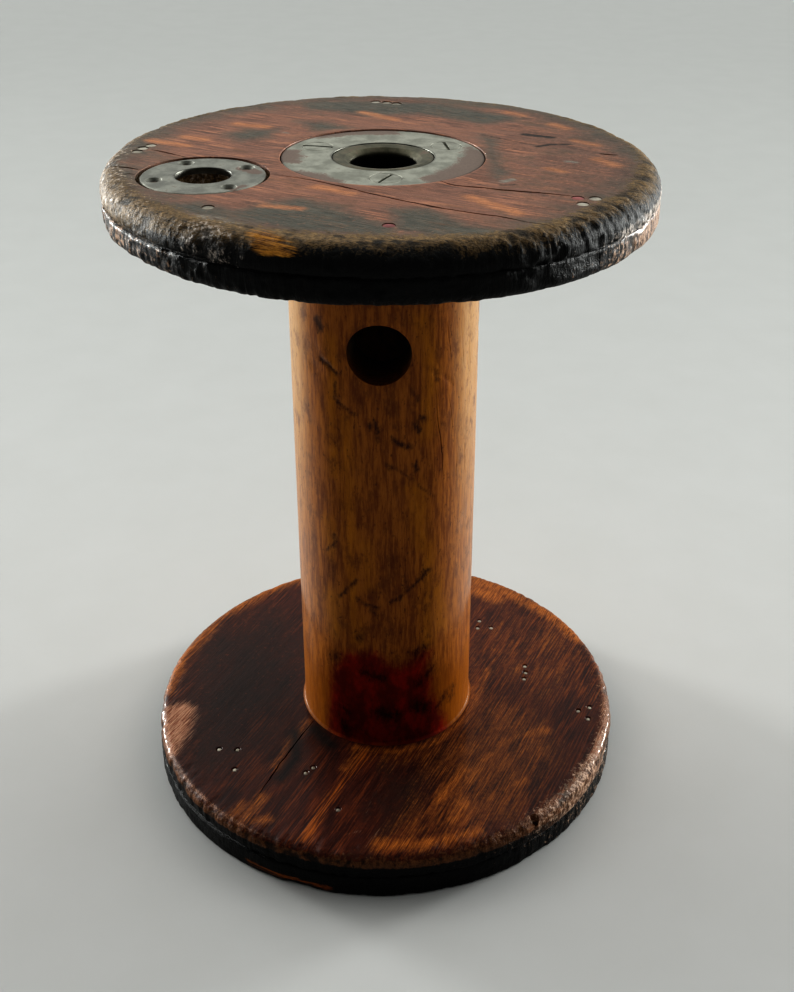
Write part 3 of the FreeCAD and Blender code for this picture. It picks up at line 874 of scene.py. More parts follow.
carve(upper_outer, cutter("driving_hole", [turned_solid([
    (0, UPPER_INNER_FACE - 2), (WOOD_HOLE, UPPER_INNER_FACE - 2), (WOOD_HOLE, DRIVE_SEAT),
    (DRIVE_RECESS, DRIVE_SEAT), (DRIVE_RECESS + 0.2, UPPER_FACE + 2), (0, UPPER_FACE + 2),
], 96, DRIVE_CENTRE)]))
carve(upper_inner, cutter("driving_hole_below", [turned_solid([
    (0, UPPER_INNER_FACE - 2), (WOOD_HOLE, UPPER_INNER_FACE - 2), (WOOD_HOLE, UPPER_GLUE + 2),
    (0, UPPER_GLUE + 2),
], 64, DRIVE_CENTRE)]))
# Neighbouring seats overlap, and one cutter's solids must not, so every other one is cut first.
for nails in (middles("upper_head_nails")[::2], middles("upper_head_nails")[1::2]):
    carve(upper_outer, cutter("nail_seats", seats(
        nails, SEAT_RADIUS, UPPER_FACE - SEAT_DEPTH, UPPER_FACE + 2,
    )))
carve(lower_inner, cutter("nail_dimples", seats(
    middles("lower_head_nails"), DIMPLE_RADIUS, LOWER_INNER_FACE - 0.9, LOWER_INNER_FACE + 0.2, 0.7,
)))

# Each crack's path, width, depth and seed.
CRACKS_UPPER = [
    ([(-86, 3.2), (-78.4, -1.6), (-72, -5.9), (-69.5, -7.2)], 1.2, 6, 1),
    ([(-38.5, -25.2), (-26.8, -30.5), (-10.6, -39.9), (5.8, -51.1), (21.8, -60.3), (40.9, -67.8),
     (54.7, -75.8), (62, -81)], 1.3, 6, 2),
    ([(17.5, -28.2), (26.5, -35.2), (41.7, -38.8), (61.6, -43.7), (70.5, -46.3)], 1.5, 6, 4),
    ([(-96, -19.6), (-91.9, -20.7), (-88.2, -21.3), (-82, -24.6)], 1.5, 5, 6),
    ([(-92, -34), (-88.9, -31.4), (-86.4, -28.6), (-82.4, -30)], 1.1, 4, 7),
]
carve(upper_outer, cutter("upper_cracks", cracks_at(UPPER_FACE, CRACKS_UPPER)))
SLOT = ([(78.6, 8.6), (88.2, 6.6)], 1.9, 3, 5)
carve(upper_outer, cutter("slot_in_the_face", cracks_at(UPPER_FACE, [SLOT])))
CRACKS_LOWER = [
    ([(-50, -71), (-47.7, -65), (-40, -43), (-33.5, -28), (-29, -18.5)], 0.8, 5, 21),
]
carve(lower_inner, cutter("lower_crack", cracks_at(LOWER_INNER_FACE, CRACKS_LOWER)))
RIM_PIT = (63.4, -77.6)
carve(lower_inner, cutter("pit_in_the_rim", seats(
    [RIM_PIT], 3.0, LOWER_INNER_FACE - 4, LOWER_INNER_FACE + 2, 1.0,
)))

# %% [markdown]
# The finish of a board. Fibres and bands come from noise drawn out along the grain. The painted masks
# say where dirt, bare wood and the black of the rim lie, and the noise gives them ragged borders.
# The deepest pits of the rim are darkened nearly to black. The pale rubbed tone on the rim is partly
# rubbed fibre and partly painted glints where the rim faces the lamps.

# %% Finish of the boards


def board_finish(name, grain, tones, gloss):
    """The wood of a board. The tones are pairs of a dark and a light colour."""
    finish = new_finish(name)
    fibres = finish.noise(finish.grain(grain, 16, 0.7), detail=4, roughness=0.65)
    threads = finish.noise(finish.grain(grain, 7, 0.3), detail=3, roughness=0.65)
    bands = finish.noise(finish.grain(grain, 26, 4.5), detail=5, roughness=0.65, distortion=0.5)
    clouds = finish.noise(finish.grain(grain, 22, 12), detail=6, roughness=0.65)
    crumbs = finish.noise(finish.grain(0, 1.9, 1.9), detail=4, roughness=0.7)
    streaks = finish.noise(finish.grain(0, 0.9, 0.9, 5.5), detail=4, roughness=0.65)
    pit = finish.mask("pit")

    def cover(tone, share, pair, pattern):
        """A pair of tones, mixed by a pattern, over the tone so far."""
        return finish.blend(share, tone, finish.blend(finish.step(pattern, 0.34, 0.66), *tones[pair]))

    tone = finish.blend(finish.step(fibres * 0.5 + clouds * 0.5, 0.36, 0.64), *tones["ground"])
    tone = cover(tone, finish.step(bands + (fibres - 0.5) * 0.7, 0.46, 0.72, 0, 0.75), "bands", fibres)
    tone = cover(tone, finish.step(clouds + (fibres - 0.5) * 0.5, 0.5, 0.68, 0, 0.8), "clouds", fibres)
    for layer, pattern, reach, softness in (
        ("dirt", clouds * 0.5 + fibres * 0.25 + crumbs * 0.25, 1.9, 0.32),
        ("warm", fibres * 0.45 + crumbs * 0.3 + clouds * 0.25, 1.9, 0.3),
        ("worn", threads, 1.0, 0.25),
        ("smear", fibres * 0.5 + crumbs * 0.5, 0.6, 0.25),
    ):
        tone = cover(tone, finish.ragged(finish.mask(layer), pattern, reach, softness), layer, threads)
    tone = finish.blend(finish.step(threads, 0.58, 0.78, 0, 0.35), tone, tones["smear"][1])
    tone = finish.blend(finish.step(crumbs, 0.55, 0.72, 0, 0.4), tone, tones["smear"][1])
    tone = finish.blend(finish.step(crumbs, 0.42, 0.28, 0, 0.3), tone, tones["bands"][1])
    edge = finish.ragged(finish.mask("edge"), streaks * 0.3 + crumbs * 0.7, 1.6, 0.2)
    rim = cover(tone, edge, "edge", crumbs * 0.5 + threads * 0.5)
    grit = streaks * 0.35 + crumbs * 0.65
    # Pale on the rim: partly rubbed fibre, partly painted glints.
    rubbed = finish.ragged(finish.mask("rubbed"), grit, 1.9, 0.16)
    black = finish.blend(finish.step(crumbs, 0.52, 0.8), *tones["black"])
    char = finish.ragged(finish.mask("char"), crumbs * 0.6 + streaks * 0.4, 1.7, 0.14)
    tone = finish.blend(char, rim, black)
    tone = cover(tone, rubbed * edge, "rubbed", grit)
    tone = finish.blend(finish.step(pit, 0.45, 0.95, 0, 0.8) * edge, tone, tones["black"][0])
    raw = finish.ragged(finish.mask("bare"), fibres, 0.8, 0.16)
    tone = cover(tone, raw, "bare", fibres)
    rough = gloss["roughness"] + (fibres - 0.5) * 0.3 - rubbed * edge * 0.15
    fine = fibres * 0.7 + threads * 0.35 + clouds * 0.5
    side = finish.bump(streaks + crumbs * 0.5, 0.8, finish.step(edge, 0, 1, 0, 0.8))
    relief = finish.bump(fine, 0.3, 0.7, side)
    return finish.surface({
        "Base Color": tone,
        "Roughness": rough,
        "Normal": relief,
        "Coat Weight": finish.step(edge, 0, 1, gloss["coat"], gloss["rim_coat"]) + rubbed * edge * 0.35,
        "Coat Roughness": gloss["coat_roughness"],
        "Coat IOR": 1.36,
        "Specular IOR Level": gloss["specular"],
    })


UPPER_TONES = {
    "ground": (colour(102, 74, 62), colour(168, 121, 101)),
    "bands": (colour(138, 94, 76), colour(206, 146, 112)),
    "clouds": (colour(74, 58, 48), colour(112, 84, 68)),
    "dirt": (colour(58, 58, 52), colour(108, 105, 94)),
    "warm": (colour(140, 92, 68), colour(216, 152, 106)),
    "worn": (colour(84, 78, 70), colour(164, 158, 146)),
    "smear": (colour(26, 22, 19), colour(52, 42, 35)),
    "edge": (colour(34, 27, 20), colour(150, 122, 82)),
    "black": (colour(3, 3, 3), colour(22, 16, 12)),
    "rubbed": (colour(74, 58, 48), colour(206, 192, 180)),
    "bare": (colour(104, 62, 16), colour(214, 154, 66)),
}
LOWER_TONES = {
    "ground": (colour(42, 14, 8), colour(88, 38, 20)),
    "bands": (colour(62, 24, 10), colour(124, 62, 26)),
    "clouds": (colour(28, 11, 8), colour(56, 24, 15)),
    "dirt": (colour(28, 15, 12), colour(50, 29, 22)),
    "warm": (colour(92, 44, 16), colour(190, 116, 46)),
    "worn": (colour(116, 50, 18), colour(206, 160, 128)),
    "smear": (colour(16, 8, 6), colour(34, 18, 12)),
    "edge": (colour(44, 24, 14), colour(128, 84, 52)),
    "black": (colour(3, 3, 3), colour(26, 15, 10)),
    "rubbed": (colour(92, 60, 44), colour(204, 170, 144)),
    "bare": (colour(88, 40, 8), colour(166, 92, 28)),
}
MASKS = ("dirt", "warm", "worn", "smear", "edge", "rubbed", "char", "bare")


def paint_board(board, grain, face, outwards, seed, **placed):
    """Masks of a board. `edge` begins the worn band inside the rim, and the black beyond it is charred
    wood, with painted shade where it widens at the front and down in deep cracks and holes.
    What is listed in the marks is laid over them."""
    places = places_of(board)
    radius = np.hypot(places[:, 0], places[:, 1])
    depth = (face - places[:, 2]) * outwards
    sway = 6.0 * (noise(places, 18, seed, octaves=4) - 0.5)
    from_rim = HEAD_RADIUS - radius + sway
    masks = {name: np.zeros(len(places)) for name in MASKS}
    masks["edge"] = np.maximum(0.5 + (placed["edge_width"] - from_rim) / 12, ease(depth, 0.8, 2.4))
    masks["char"] = np.maximum(0.5 + (placed["char_width"] - from_rim) / 9, ease(depth, 2.8, 6.0))
    masks["char"] = masks["char"] * (1 - placed["bare_rim"])
    masks["dirt"] = 0.5 + (placed["dirt_width"] - from_rim) / 40
    masks["rubbed"] = placed["rubbed"]
    for name, field in placed["marks"].items():
        masks[name] = np.maximum(masks[name], field)
    paint(board, **masks)


# %% [markdown]
# What lies where on the heads. The front of the rim is black all over: charred wood, with painted
# shade where the black widens. The left is bare speckled brown and the right shows grey fibre, both
# partly worn wood and partly painted glints where the rim faces the lamps. Patches and strokes follow
# the real bobbin's face.

# %% Masks of the upper head
SHARP, SOFT, BROAD = 2, 6, 9
LEFT, RIGHT, BACK, FRONT = 185, -22, 90, -100
UPPER_DIRT = [
    [(-43.1, -66), (-34.2, -57.1), (-23.2, -53.2), (-10.7, -62), (-1.1, -70.6), (9.7, -79.7), (10.3, -92.7),
     (-12.1, -88), (-23.9, -87.3), (-35.8, -80.5), (-44.1, -75.2)],
    [(-91.7, -24.1), (-84.5, -23.6), (-81, -40.1), (-74.2, -51), (-64.6, -59), (-55.7, -58.5),
     (-45.6, -66.2), (-40.1, -76.9), (-57.7, -74), (-68.5, -67.6), (-79.3, -55.6), (-88.4, -42.9)],
    [(-40.1, 80.2), (-28.7, 84.8), (2.4, 85.5), (13.9, 86.4), (29.7, 76.8), (47.8, 66.1), (56.6, 60),
     (47.4, 54.3), (36.9, 50.3), (21.9, 57.3), (10.7, 63.2), (-9.9, 58.2), (-22.6, 64), (-35.2, 66.4)],
    [(-62.8, 27.2), (-54.4, 32.4), (-42.5, 36.3), (-45.2, 22.5), (-54.9, 15.9)],
    [(-37.3, 49.5), (-25.1, 47.2), (-16.4, 38.3), (-27.8, 34.3)],
    [(5.7, -62), (17.6, -61.3), (30.7, -75.6), (43.1, -78.7), (52.2, -81.1), (46, -88.8), (29.4, -89.8),
     (6.8, -83.7)],
    [(36.6, 33), (43.4, 24.5), (41.9, -3.4), (45.7, -18.6), (40.6, -28.6), (38.5, -14.2)],
]
UPPER_WARM = [
    ([(65.4, 50.8), (70.6, 44.8)], 2.2), ([(78.2, 0.4), (84.4, -7.1)], 2.6),
    ([(59.9, -12.6), (64.2, -16.1)], 1.6), ([(43.7, -59.7), (47, -64.7)], 2.0),
    ([(47.9, 69.5), (54, 64.9)], 2.0), ([(-76.4, 21.7), (-68.4, 17.9)], 2.0),
    ([(-87.8, 15), (-73.8, 8.9)], 2.4), ([(-12.4, 64.8), (2.1, 54.1)], 2.0),
    ([(-35.5, -61.4), (-23, -63.8)], 1.5), ([(31.5, -47.6), (41.2, -57.8)], 2.4),
    ([(-60, 42), (-48, 38)], 2.2), ([(-20, -40), (-8, -46)], 2.2), ([(72, 26), (80, 20)], 1.6),
]
UPPER_SMEARS = [
    ([(53.4, 34.3), (63.3, 30.4)], 1.7), ([(57.5, 16.9), (63, 20.1), (69.5, 20.6)], 1.1),
    ([(36.6, 33), (47.2, 24.8), (57.6, 18.3)], 0.3), ([(69.2, 16.3), (80.1, 8.7)], 0.3),
    ([(42.2, -33.3), (47.3, -32.9)], 0.5), ([(-71, -8), (-66, -10)], 0.5),
]
UPPER_CHIPS = [
    ([(42.9, -29.7), (46.1, -27.1)], 1.3), ([(67, -3), (69.8, -4.2)], 0.9),
    ([(-40, 30), (-38.5, 29.5)], 0.5),
]
GREY_FIBRE = [
    [(-64, -82), (-52.8, -72.5), (-40.5, -79.5), (-36, -97), (-43.3, -103), (-56, -93)],
]
AMBER_CHIP = [
    [(-35.5, -86), (-29, -87.5), (-21.5, -96.5), (-19, -103), (-25, -105), (-33, -101)],
]

places = places_of(upper_outer)
left_side = near_azimuth(places, LEFT, 42)
right_side = near_azimuth(places, RIGHT, 30)
front_side = near_azimuth(places, FRONT, 50)
paint_board(
    upper_outer, OUTER_GRAIN, UPPER_FACE, 1, 61,
    # The black widens at the front: painted shade over the charred wood. At the left the rim is bare and
    # lighter: partly worn wood, partly a painted lighter side where the lamps fall.
    edge_width=7.0 + 6.0 * front_side + 3.0 * right_side,
    char_width=1.0 + 2.5 * front_side + 3.5 * right_side,
    dirt_width=15,
    bare_rim=(left_side + 0.7 * near_azimuth(places, BACK, 60) + 0.25 * right_side).clip(0, 1),
    # The pale rim at the left and right is partly rubbed fibre and partly painted glints.
    rubbed=np.maximum(
        0.42 * left_side + 0.68 * near_azimuth(places, -20, 26) * ease(UPPER_FACE - places[:, 2], 4.0, 7.0),
        0.4 * patches(places[:, :2], GREY_FIBRE, SOFT),
    ).clip(0, 1),
    marks={
        # Broad ramps also make the face darker towards the right and towards the back.
        "dirt": np.maximum.reduce((
            patches(places[:, :2], UPPER_DIRT, BROAD), 0.34 * ease(places[:, 0], 10, 60),
            0.42 * ease(places[:, 1], 30, 72),
        )),
        "warm": np.maximum(strokes(places[:, :2], UPPER_WARM, 4), 0.2),
        "smear": np.maximum(strokes(places[:, :2], UPPER_SMEARS, SHARP), 0.38 * ease(places[:, 0], 10, 70)),
        "worn": np.maximum(
            strokes(places[:, :2], UPPER_CHIPS, SHARP), patches(places[:, :2], GREY_FIBRE, SOFT),
        ),
        "bare": patches(places[:, :2], AMBER_CHIP, SOFT) * ease(places[:, 2], UPPER_FACE - 6, UPPER_FACE - 3),
    },
)
places = places_of(upper_inner)
left_side = near_azimuth(places, 205, 38)
paint_board(
    upper_inner, INNER_GRAIN, UPPER_INNER_FACE, -1, 62,
    edge_width=6.0, char_width=5.0, dirt_width=12, bare_rim=0.0,
    # Partly rubbed fibre, partly painted glints at the left and right.
    rubbed=(0.46 * left_side + 0.64 * near_azimuth(places, -20, 26)).clip(0, 1), marks={},
)
hand_over(
    upper_outer, board_finish(
        "upper_outer_wood", OUTER_GRAIN, UPPER_TONES,
        {"roughness": 0.6, "coat": 0.08, "rim_coat": 0.0, "coat_roughness": 0.3, "specular": 0.2},
    ), "upper_head_wood", "upper_head_outer_ply",
)
hand_over(
    upper_inner, board_finish(
        "upper_inner_wood", INNER_GRAIN, LOWER_TONES,
        {"roughness": 0.5, "coat": 0.3, "rim_coat": 0.05, "coat_roughness": 0.25, "specular": 0.15},
    ), "upper_head_wood", "upper_head_inner_ply",
)

# %% [markdown]
# The lower head has kept its mahogany varnish. An orange stripe runs from the barrel to the rim, and
# the rim is pale tan at the right, partly rubbed and partly a painted sheen, with orange wood just
# inside it. A thin line of painted glints runs along the rim's edge at the front left.

# %% Masks of the lower head
LOWER_DIRT = [
    [(-91.5, 32.7), (-70, 49.2), (-45.6, 49.9), (-38.7, -9.3), (-52.8, -35.6), (-76.2, -48.5),
     (-87.4, -23.9)],
    [(6, -52.2), (24.8, -45.8), (21.1, -68.9), (9.4, -80.1), (0.8, -69.4)],
]
LOWER_WARM = [
    ([(-53.9, -82.7), (-50.8, -77.3), (-47.2, -69)], 1.6), ([(-48.1, -81.5), (-42.3, -80.8)], 1.2),
    ([(-57.7, -79.1), (-54.1, -74.1)], 1.4),
    ([(-11.7, -39.4), (-4, -40.6), (7.7, -40.6), (20, -36.5), (28, -29.5), (35.5, -19.5), (38.8, -8),
     (39, 2)], 0.9),
    ([(-99, -4), (-97.9, 17.3), (-86.4, 49.7), (-67.5, 72), (-49.6, 86)], 2.6),
    ([(40.3, 86.2), (54, 79.6), (69, 67), (82.4, 53.5), (90, 40)], 4.0), ([(40.2, 78), (50.8, 72.3)], 4.5),
    ([(37.4, -57.2), (41.6, -48.3), (46, -42.2)], 2.6),
    ([(2, -93.5), (14, -92.5), (28.1, -89.5), (40, -85)], 2.2),
    ([(25.1, -68.8), (29.1, -60.3), (35.3, -51.4)], 2.6),
    ([(50.4, -35.9), (59.3, -29.4), (70.3, -25.9)], 2.0), ([(40.4, -7), (43.2, 3.5), (46.2, 14.3)], 1.6),
    ([(52, -62), (60, -56)], 1.8), ([(30, -80), (36, -70)], 1.8), ([(-14, -52), (-9, -44)], 1.0),
    ([(-33.5, -23.7), (-39.8, -36.5), (-43.9, -51.2)], 0.6),
]
LOWER_WARM_AREA = [
    [(0, -44), (14, -46), (22, -62), (10, -88), (24, -92), (44, -84), (62, -66), (72, -44), (70, -20),
     (56, -8), (44, 2), (39, -12), (24, -34)],
]
STRIPE = [
    [(-8.1, -41.2), (-4.6, -43.5), (-13.8, -60.3), (-19.5, -73.3), (-25.8, -93.4), (-31, -92),
     (-26.5, -79.9), (-19.5, -64.9), (-12.1, -50.3)],
]
LOWER_WORN = [
    [(-97.2, -15.6), (-90, -13), (-85, -16), (-84.1, -30.2), (-87, -45), (-91, -46), (-95.5, -30.5)],
]
LOWER_SCRATCHES = [
    ([(3.1, -81.3), (-3.5, -94.9)], 0.15), ([(-2.5, -69.5), (-4.4, -76.1)], 0.1),
    ([(-12, -88), (-6, -86)], 0.3),
]
LOWER_SMEARS = [
    ([(-38.5, -30), (-36, -46), (-41, -58)], 2.2), ([(-30, -28), (-22, -38)], 3.0),
]

places = places_of(lower_inner)
flat = places[:, :2]
right_side = near_azimuth(places, -28, 34)
left_side = near_azimuth(places, 215, 40)
back_side = near_azimuth(places, BACK, 70)
radius = np.hypot(flat[:, 0], flat[:, 1])
# A painted sheen on the right of the rim.
tan_rim = ease(radius, HEAD_RADIUS - 7, HEAD_RADIUS - 2) * near_azimuth(places, -24, 34) * 0.8
# A painted line of glints along the front-left edge.
glint_line = 0.5 * np.exp(-((radius - HEAD_RADIUS + 2.4) / 1.1) ** 2) * near_azimuth(places, 225, 30)
paint_board(
    lower_inner, INNER_GRAIN, LOWER_INNER_FACE, 1, 63,
    edge_width=1.0 + 3.0 * right_side, char_width=-1.5 + 0.5 * right_side, dirt_width=-12,
    # Bare and lighter at the right: partly worn wood, partly a painted lighter side facing the lamps.
    bare_rim=(0.55 * right_side + 0.5 * back_side).clip(0, 1),
    # Partly rubbed fibre, partly painted glints at the right.
    rubbed=(0.50 * right_side + 0.12 * left_side).clip(0, 1),
    marks={
        "dirt": patches(flat, LOWER_DIRT, 40),
        "warm": np.maximum.reduce((
            strokes(flat, LOWER_WARM, 6), 0.46 * ease(patches(flat, LOWER_WARM_AREA, 30), 0.1, 0.7),
            0.36 * near_azimuth(places, 25, 50),
        )),
        # The worn mask here also carries the painted sheen and the painted glints.
        "worn": np.maximum.reduce((
            patches(flat, LOWER_WORN, SOFT), 0.55 * strokes(flat, LOWER_SCRATCHES, 1.3), tan_rim, glint_line,
        )),
        "smear": strokes(flat, LOWER_SMEARS, SOFT),
        "bare": patches(flat, STRIPE, SOFT) * 0.85,
    },
)
places = places_of(lower_outer)
paint_board(
    lower_outer, OUTER_GRAIN, 0, -1, 64,
    edge_width=5.0, char_width=4.0, dirt_width=10, bare_rim=0.0,
    # Partly rubbed, partly a painted glint on the right.
    rubbed=0.35 * near_azimuth(places, RIGHT, 40),
    marks={"bare": 0.95 * strokes(
        np.column_stack((azimuth_of(places), places[:, 2])), [([(-120, 3.5), (-100, 2.6)], 0.8)], SHARP,
    )},
)
LOWER_GLOSS = {"roughness": 0.5, "coat": 0.28, "rim_coat": 0.1, "coat_roughness": 0.14, "specular": 0.12}
hand_over(
    lower_inner, board_finish("lower_inner_wood", INNER_GRAIN, LOWER_TONES, LOWER_GLOSS),
    "lower_head_wood", "lower_head_inner_ply",
)
hand_over(
    lower_outer, board_finish("lower_outer_wood", OUTER_GRAIN, LOWER_TONES, LOWER_GLOSS),
    "lower_head_wood", "lower_head_outer_ply",
)

# %% [markdown]
# The barrel was turned from one block and varnished. Its surface is smooth, so the wear is shallow:
# knocks, scratches and drying cracks along the grain, which runs up and down. Places on it are given
# on the unrolled barrel: millimetres round it from the middle of the front, and the height.

# %% Barrel
BARREL_STEPS = 320
TENON_RADIUS = 33
CORE_RADIUS = 15
FLARE = 1.0
barrel_outline = rounded([
    (BUSH_RADIUS + 0.1, BARREL_LOW[2], 0, 8),
    (TENON_RADIUS, BARREL_LOW[2], 0, 8),
    (TENON_RADIUS, LOWER_INNER_FACE, 0, 3),
    (BARREL_RADIUS + FLARE, LOWER_INNER_FACE, 0, 0.5),
    (BARREL_RADIUS, LOWER_INNER_FACE + FLARE, 0.6, 0.95),
    (BARREL_RADIUS, UPPER_INNER_FACE - FLARE, 0.6, 0.5),
    (BARREL_RADIUS + FLARE, UPPER_INNER_FACE, 0, 3),
    (TENON_RADIUS, UPPER_INNER_FACE, 0, 8),
    (TENON_RADIUS, BARREL_HIGH[2], 0, 8),
    (BUSH_RADIUS + 0.1, BARREL_HIGH[2], 0, 12),
    (BUSH_RADIUS + 0.1, BUSH_LOW[2], 0, 3),
    (CORE_RADIUS, BUSH_LOW[2], 0, 12),
    (CORE_RADIUS, UPPER_FACE - BUSH_LOW[2], 0, 3),
    (BUSH_RADIUS + 0.1, UPPER_FACE - BUSH_LOW[2], 0, 12),
])


def unrolled(places):
    """Places on the unrolled barrel: the way round from the front, and the height."""
    turn = np.arctan2(places[:, 0], -places[:, 1])
    return np.column_stack((turn * BARREL_RADIUS, places[:, 2]))


def rolled(blades):
    """Blades made on a flat face, laid round the barrel."""
    moved = []
    for points, faces in blades:
        turn = points[:, 0] / BARREL_RADIUS
        reach = BARREL_RADIUS + points[:, 2]
        moved.append((np.column_stack((np.sin(turn) * reach, -np.cos(turn) * reach, points[:, 1])), faces))
    return moved


GOUGES = [
    ([(-23.4, 197.2), (-21, 196.2), (-19.7, 195.4), (-16.2, 193)], 1.0),
    ([(-17.8, 182.3), (-13.2, 179.6), (-10, 177.6)], 0.8), ([(21.2, 192.4), (26, 190.4), (30, 186)], 0.7),
    ([(-10.4, 94.2), (-1.3, 90.6)], 0.5),
]
points, normals, faces = turned(barrel_outline, BARREL_STEPS)
radius = np.hypot(points[:, 0], points[:, 1])
skin = ease(radius, BARREL_RADIUS - 1, BARREL_RADIUS - 0.2)
front = points[:, 1] < 0
hole_distance = np.hypot(points[:, 0], points[:, 2] - SIDE_HOLE_HEIGHT)
lip = np.exp(-(np.maximum(hole_distance - SIDE_BORE, 0) / 0.9) ** 2) * front
dents = ease(noise(points, 15, 71), 0.6, 0.9)
gouged = ease(strokes(unrolled(points), GOUGES, SHARP), 0.3, 0.85)
fluting = noise(points * (1, 1, 0.12), 2.4, 74, octaves=2)
barrel_wear = skin * (0.12 * noise(points, 30, 72) + 0.35 * dents + 0.3 * lip + 0.4 * gouged + 0.04 * fluting)
barrel = new_object("turned_barrel", points - normals * barrel_wear[:, None], faces)
hole_points, hole_faces = turned_solid([(0, 0), (SIDE_BORE, 0), (SIDE_BORE, 60), (0, 60)], 96)
hole_points = np.column_stack((hole_points[:, 0], -hole_points[:, 2], hole_points[:, 1] + SIDE_HOLE_HEIGHT))
carve(barrel, cutter("side_hole", [(hole_points, hole_faces)]))
CRACKS_BARREL = [
    ([(22.2, 187), (23.3, 171.5), (25.4, 160.5), (26.5, 144.6)], 0.55, 3, 31),
    ([(28, 183.6), (31.8, 163.4)], 0.4, 2, 32), ([(33.8, 156.4), (33.8, 136.1)], 0.45, 2, 33),
    ([(38.6, 159), (40.8, 141)], 0.4, 2, 34), ([(27, 214), (29.9, 194)], 0.35, 2, 35),
    ([(36, 208), (37.6, 188)], 0.35, 2, 36), ([(41.6, 204), (43, 184)], 0.35, 2, 37),
]
carve(barrel, cutter("barrel_cracks", rolled([crack_blade(*crack) for crack in CRACKS_BARREL])))

# %% [markdown]
# The varnish on the barrel has worn unevenly: golden streaks, brown mottles and dark knocks, and a
# mahogany stain at the foot where the head's varnish ran on to it, with clear amber at its sides.
# The barrel's sides are painted paler towards the top: a painted highlight of the side lamps.

# %% Finish of the barrel
BARREL_SMEARS = [
    ([(-23.4, 197.2), (-21, 196.2), (-19.7, 195.4), (-16.2, 193)], 0.8),
    ([(-17.8, 182.3), (-13.2, 179.6), (-9, 177.6)], 0.5), ([(-17.5, 190), (-17, 184)], 0.3),
    ([(-25, 213), (-23.6, 209.6)], 1.4), ([(13.5, 173.6), (15, 170.5)], 1.1),
    ([(15.6, 175.5), (17.7, 175)], 0.8), ([(14.3, 184.2), (14.6, 183)], 0.6),
    ([(-1.6, 174.7), (-0.9, 171)], 0.9), ([(-0.6, 168.6), (-0.5, 167)], 0.5),
    ([(-4, 173.6), (-3.4, 172.6)], 0.8), ([(5.1, 167.9), (6.5, 166), (8.5, 164.7), (12, 164)], 0.7),
    ([(4.5, 156.5), (12.4, 149.3), (21.2, 140.1)], 0.15), ([(2.6, 156.6), (4.6, 155.4)], 0.9),
    ([(13.6, 155.4), (14.2, 153.4)], 0.9), ([(-24.2, 112.4), (-18.4, 118.9)], 0.25),
    ([(-20, 117), (-19.2, 122)], 0.4), ([(-17.7, 93.1), (-15.5, 96), (-10.2, 103)], 0.6),
    ([(-10.4, 94.2), (-6, 91.6), (-1.3, 90.6)], 0.5), ([(-4, 89), (-1.8, 87)], 0.6),
    ([(3.9, 93.5), (7, 95), (11.3, 98.9)], 0.6), ([(11.3, 98.9), (14, 101), (18.6, 104.8)], 0.5),
    ([(9.2, 105.1), (10.2, 102), (11.3, 98.9)], 0.3), ([(18, 105.5), (20, 106)], 1.0),
    ([(12, 188), (12.2, 186.5)], 0.5), ([(22.3, 193), (22.6, 190)], 0.5),
]
BARREL_GOLD = [
    ([(-18.5, 206), (-19, 150)], 1.2), ([(-13.3, 174.5), (-12.6, 130), (-11.2, 73.1)], 1.5),
    ([(13.5, 145), (17, 118)], 2.6), ([(16, 215), (19, 205), (20.5, 185)], 2.2),
    ([(19, 182), (18, 168)], 1.6), ([(19.9, 118), (20, 71)], 2.0), ([(-22, 92), (-20, 74)], 2.4),
    ([(24, 96), (26, 76)], 2.4), ([(-23, 128), (-22, 112)], 1.2), ([(-6, 120), (-5, 100)], 1.0),
]
STAIN = [
    [(-26, 19), (-23.5, 46), (-20.5, 57), (-17, 63.5), (-13.6, 66.3), (-8, 67), (-2.8, 68.4), (3, 62),
     (7.6, 60), (12, 62), (17, 66.5), (21, 65), (19, 58), (22, 50), (21, 42), (25, 36), (26, 30), (30, 24),
     (31, 17)],
]
STAIN_BLOBS = [
    ([(14, 38), (20, 36)], 2.6), ([(16.5, 50), (20, 54)], 2.0), ([(-8, 57), (0, 55)], 1.6),
    ([(-17, 36), (-16, 34)], 1.4), ([(-17.5, 26), (-15.5, 25)], 1.8), ([(-22, 60), (-20, 61)], 1.4),
    ([(15, 66), (17.5, 68)], 1.2), ([(-10, 74), (-8.5, 77)], 0.9), ([(0, 36), (6, 35)], 2.4),
    ([(26, 34), (30, 38)], 1.0), ([(33, 35), (34, 38)], 0.8),
]


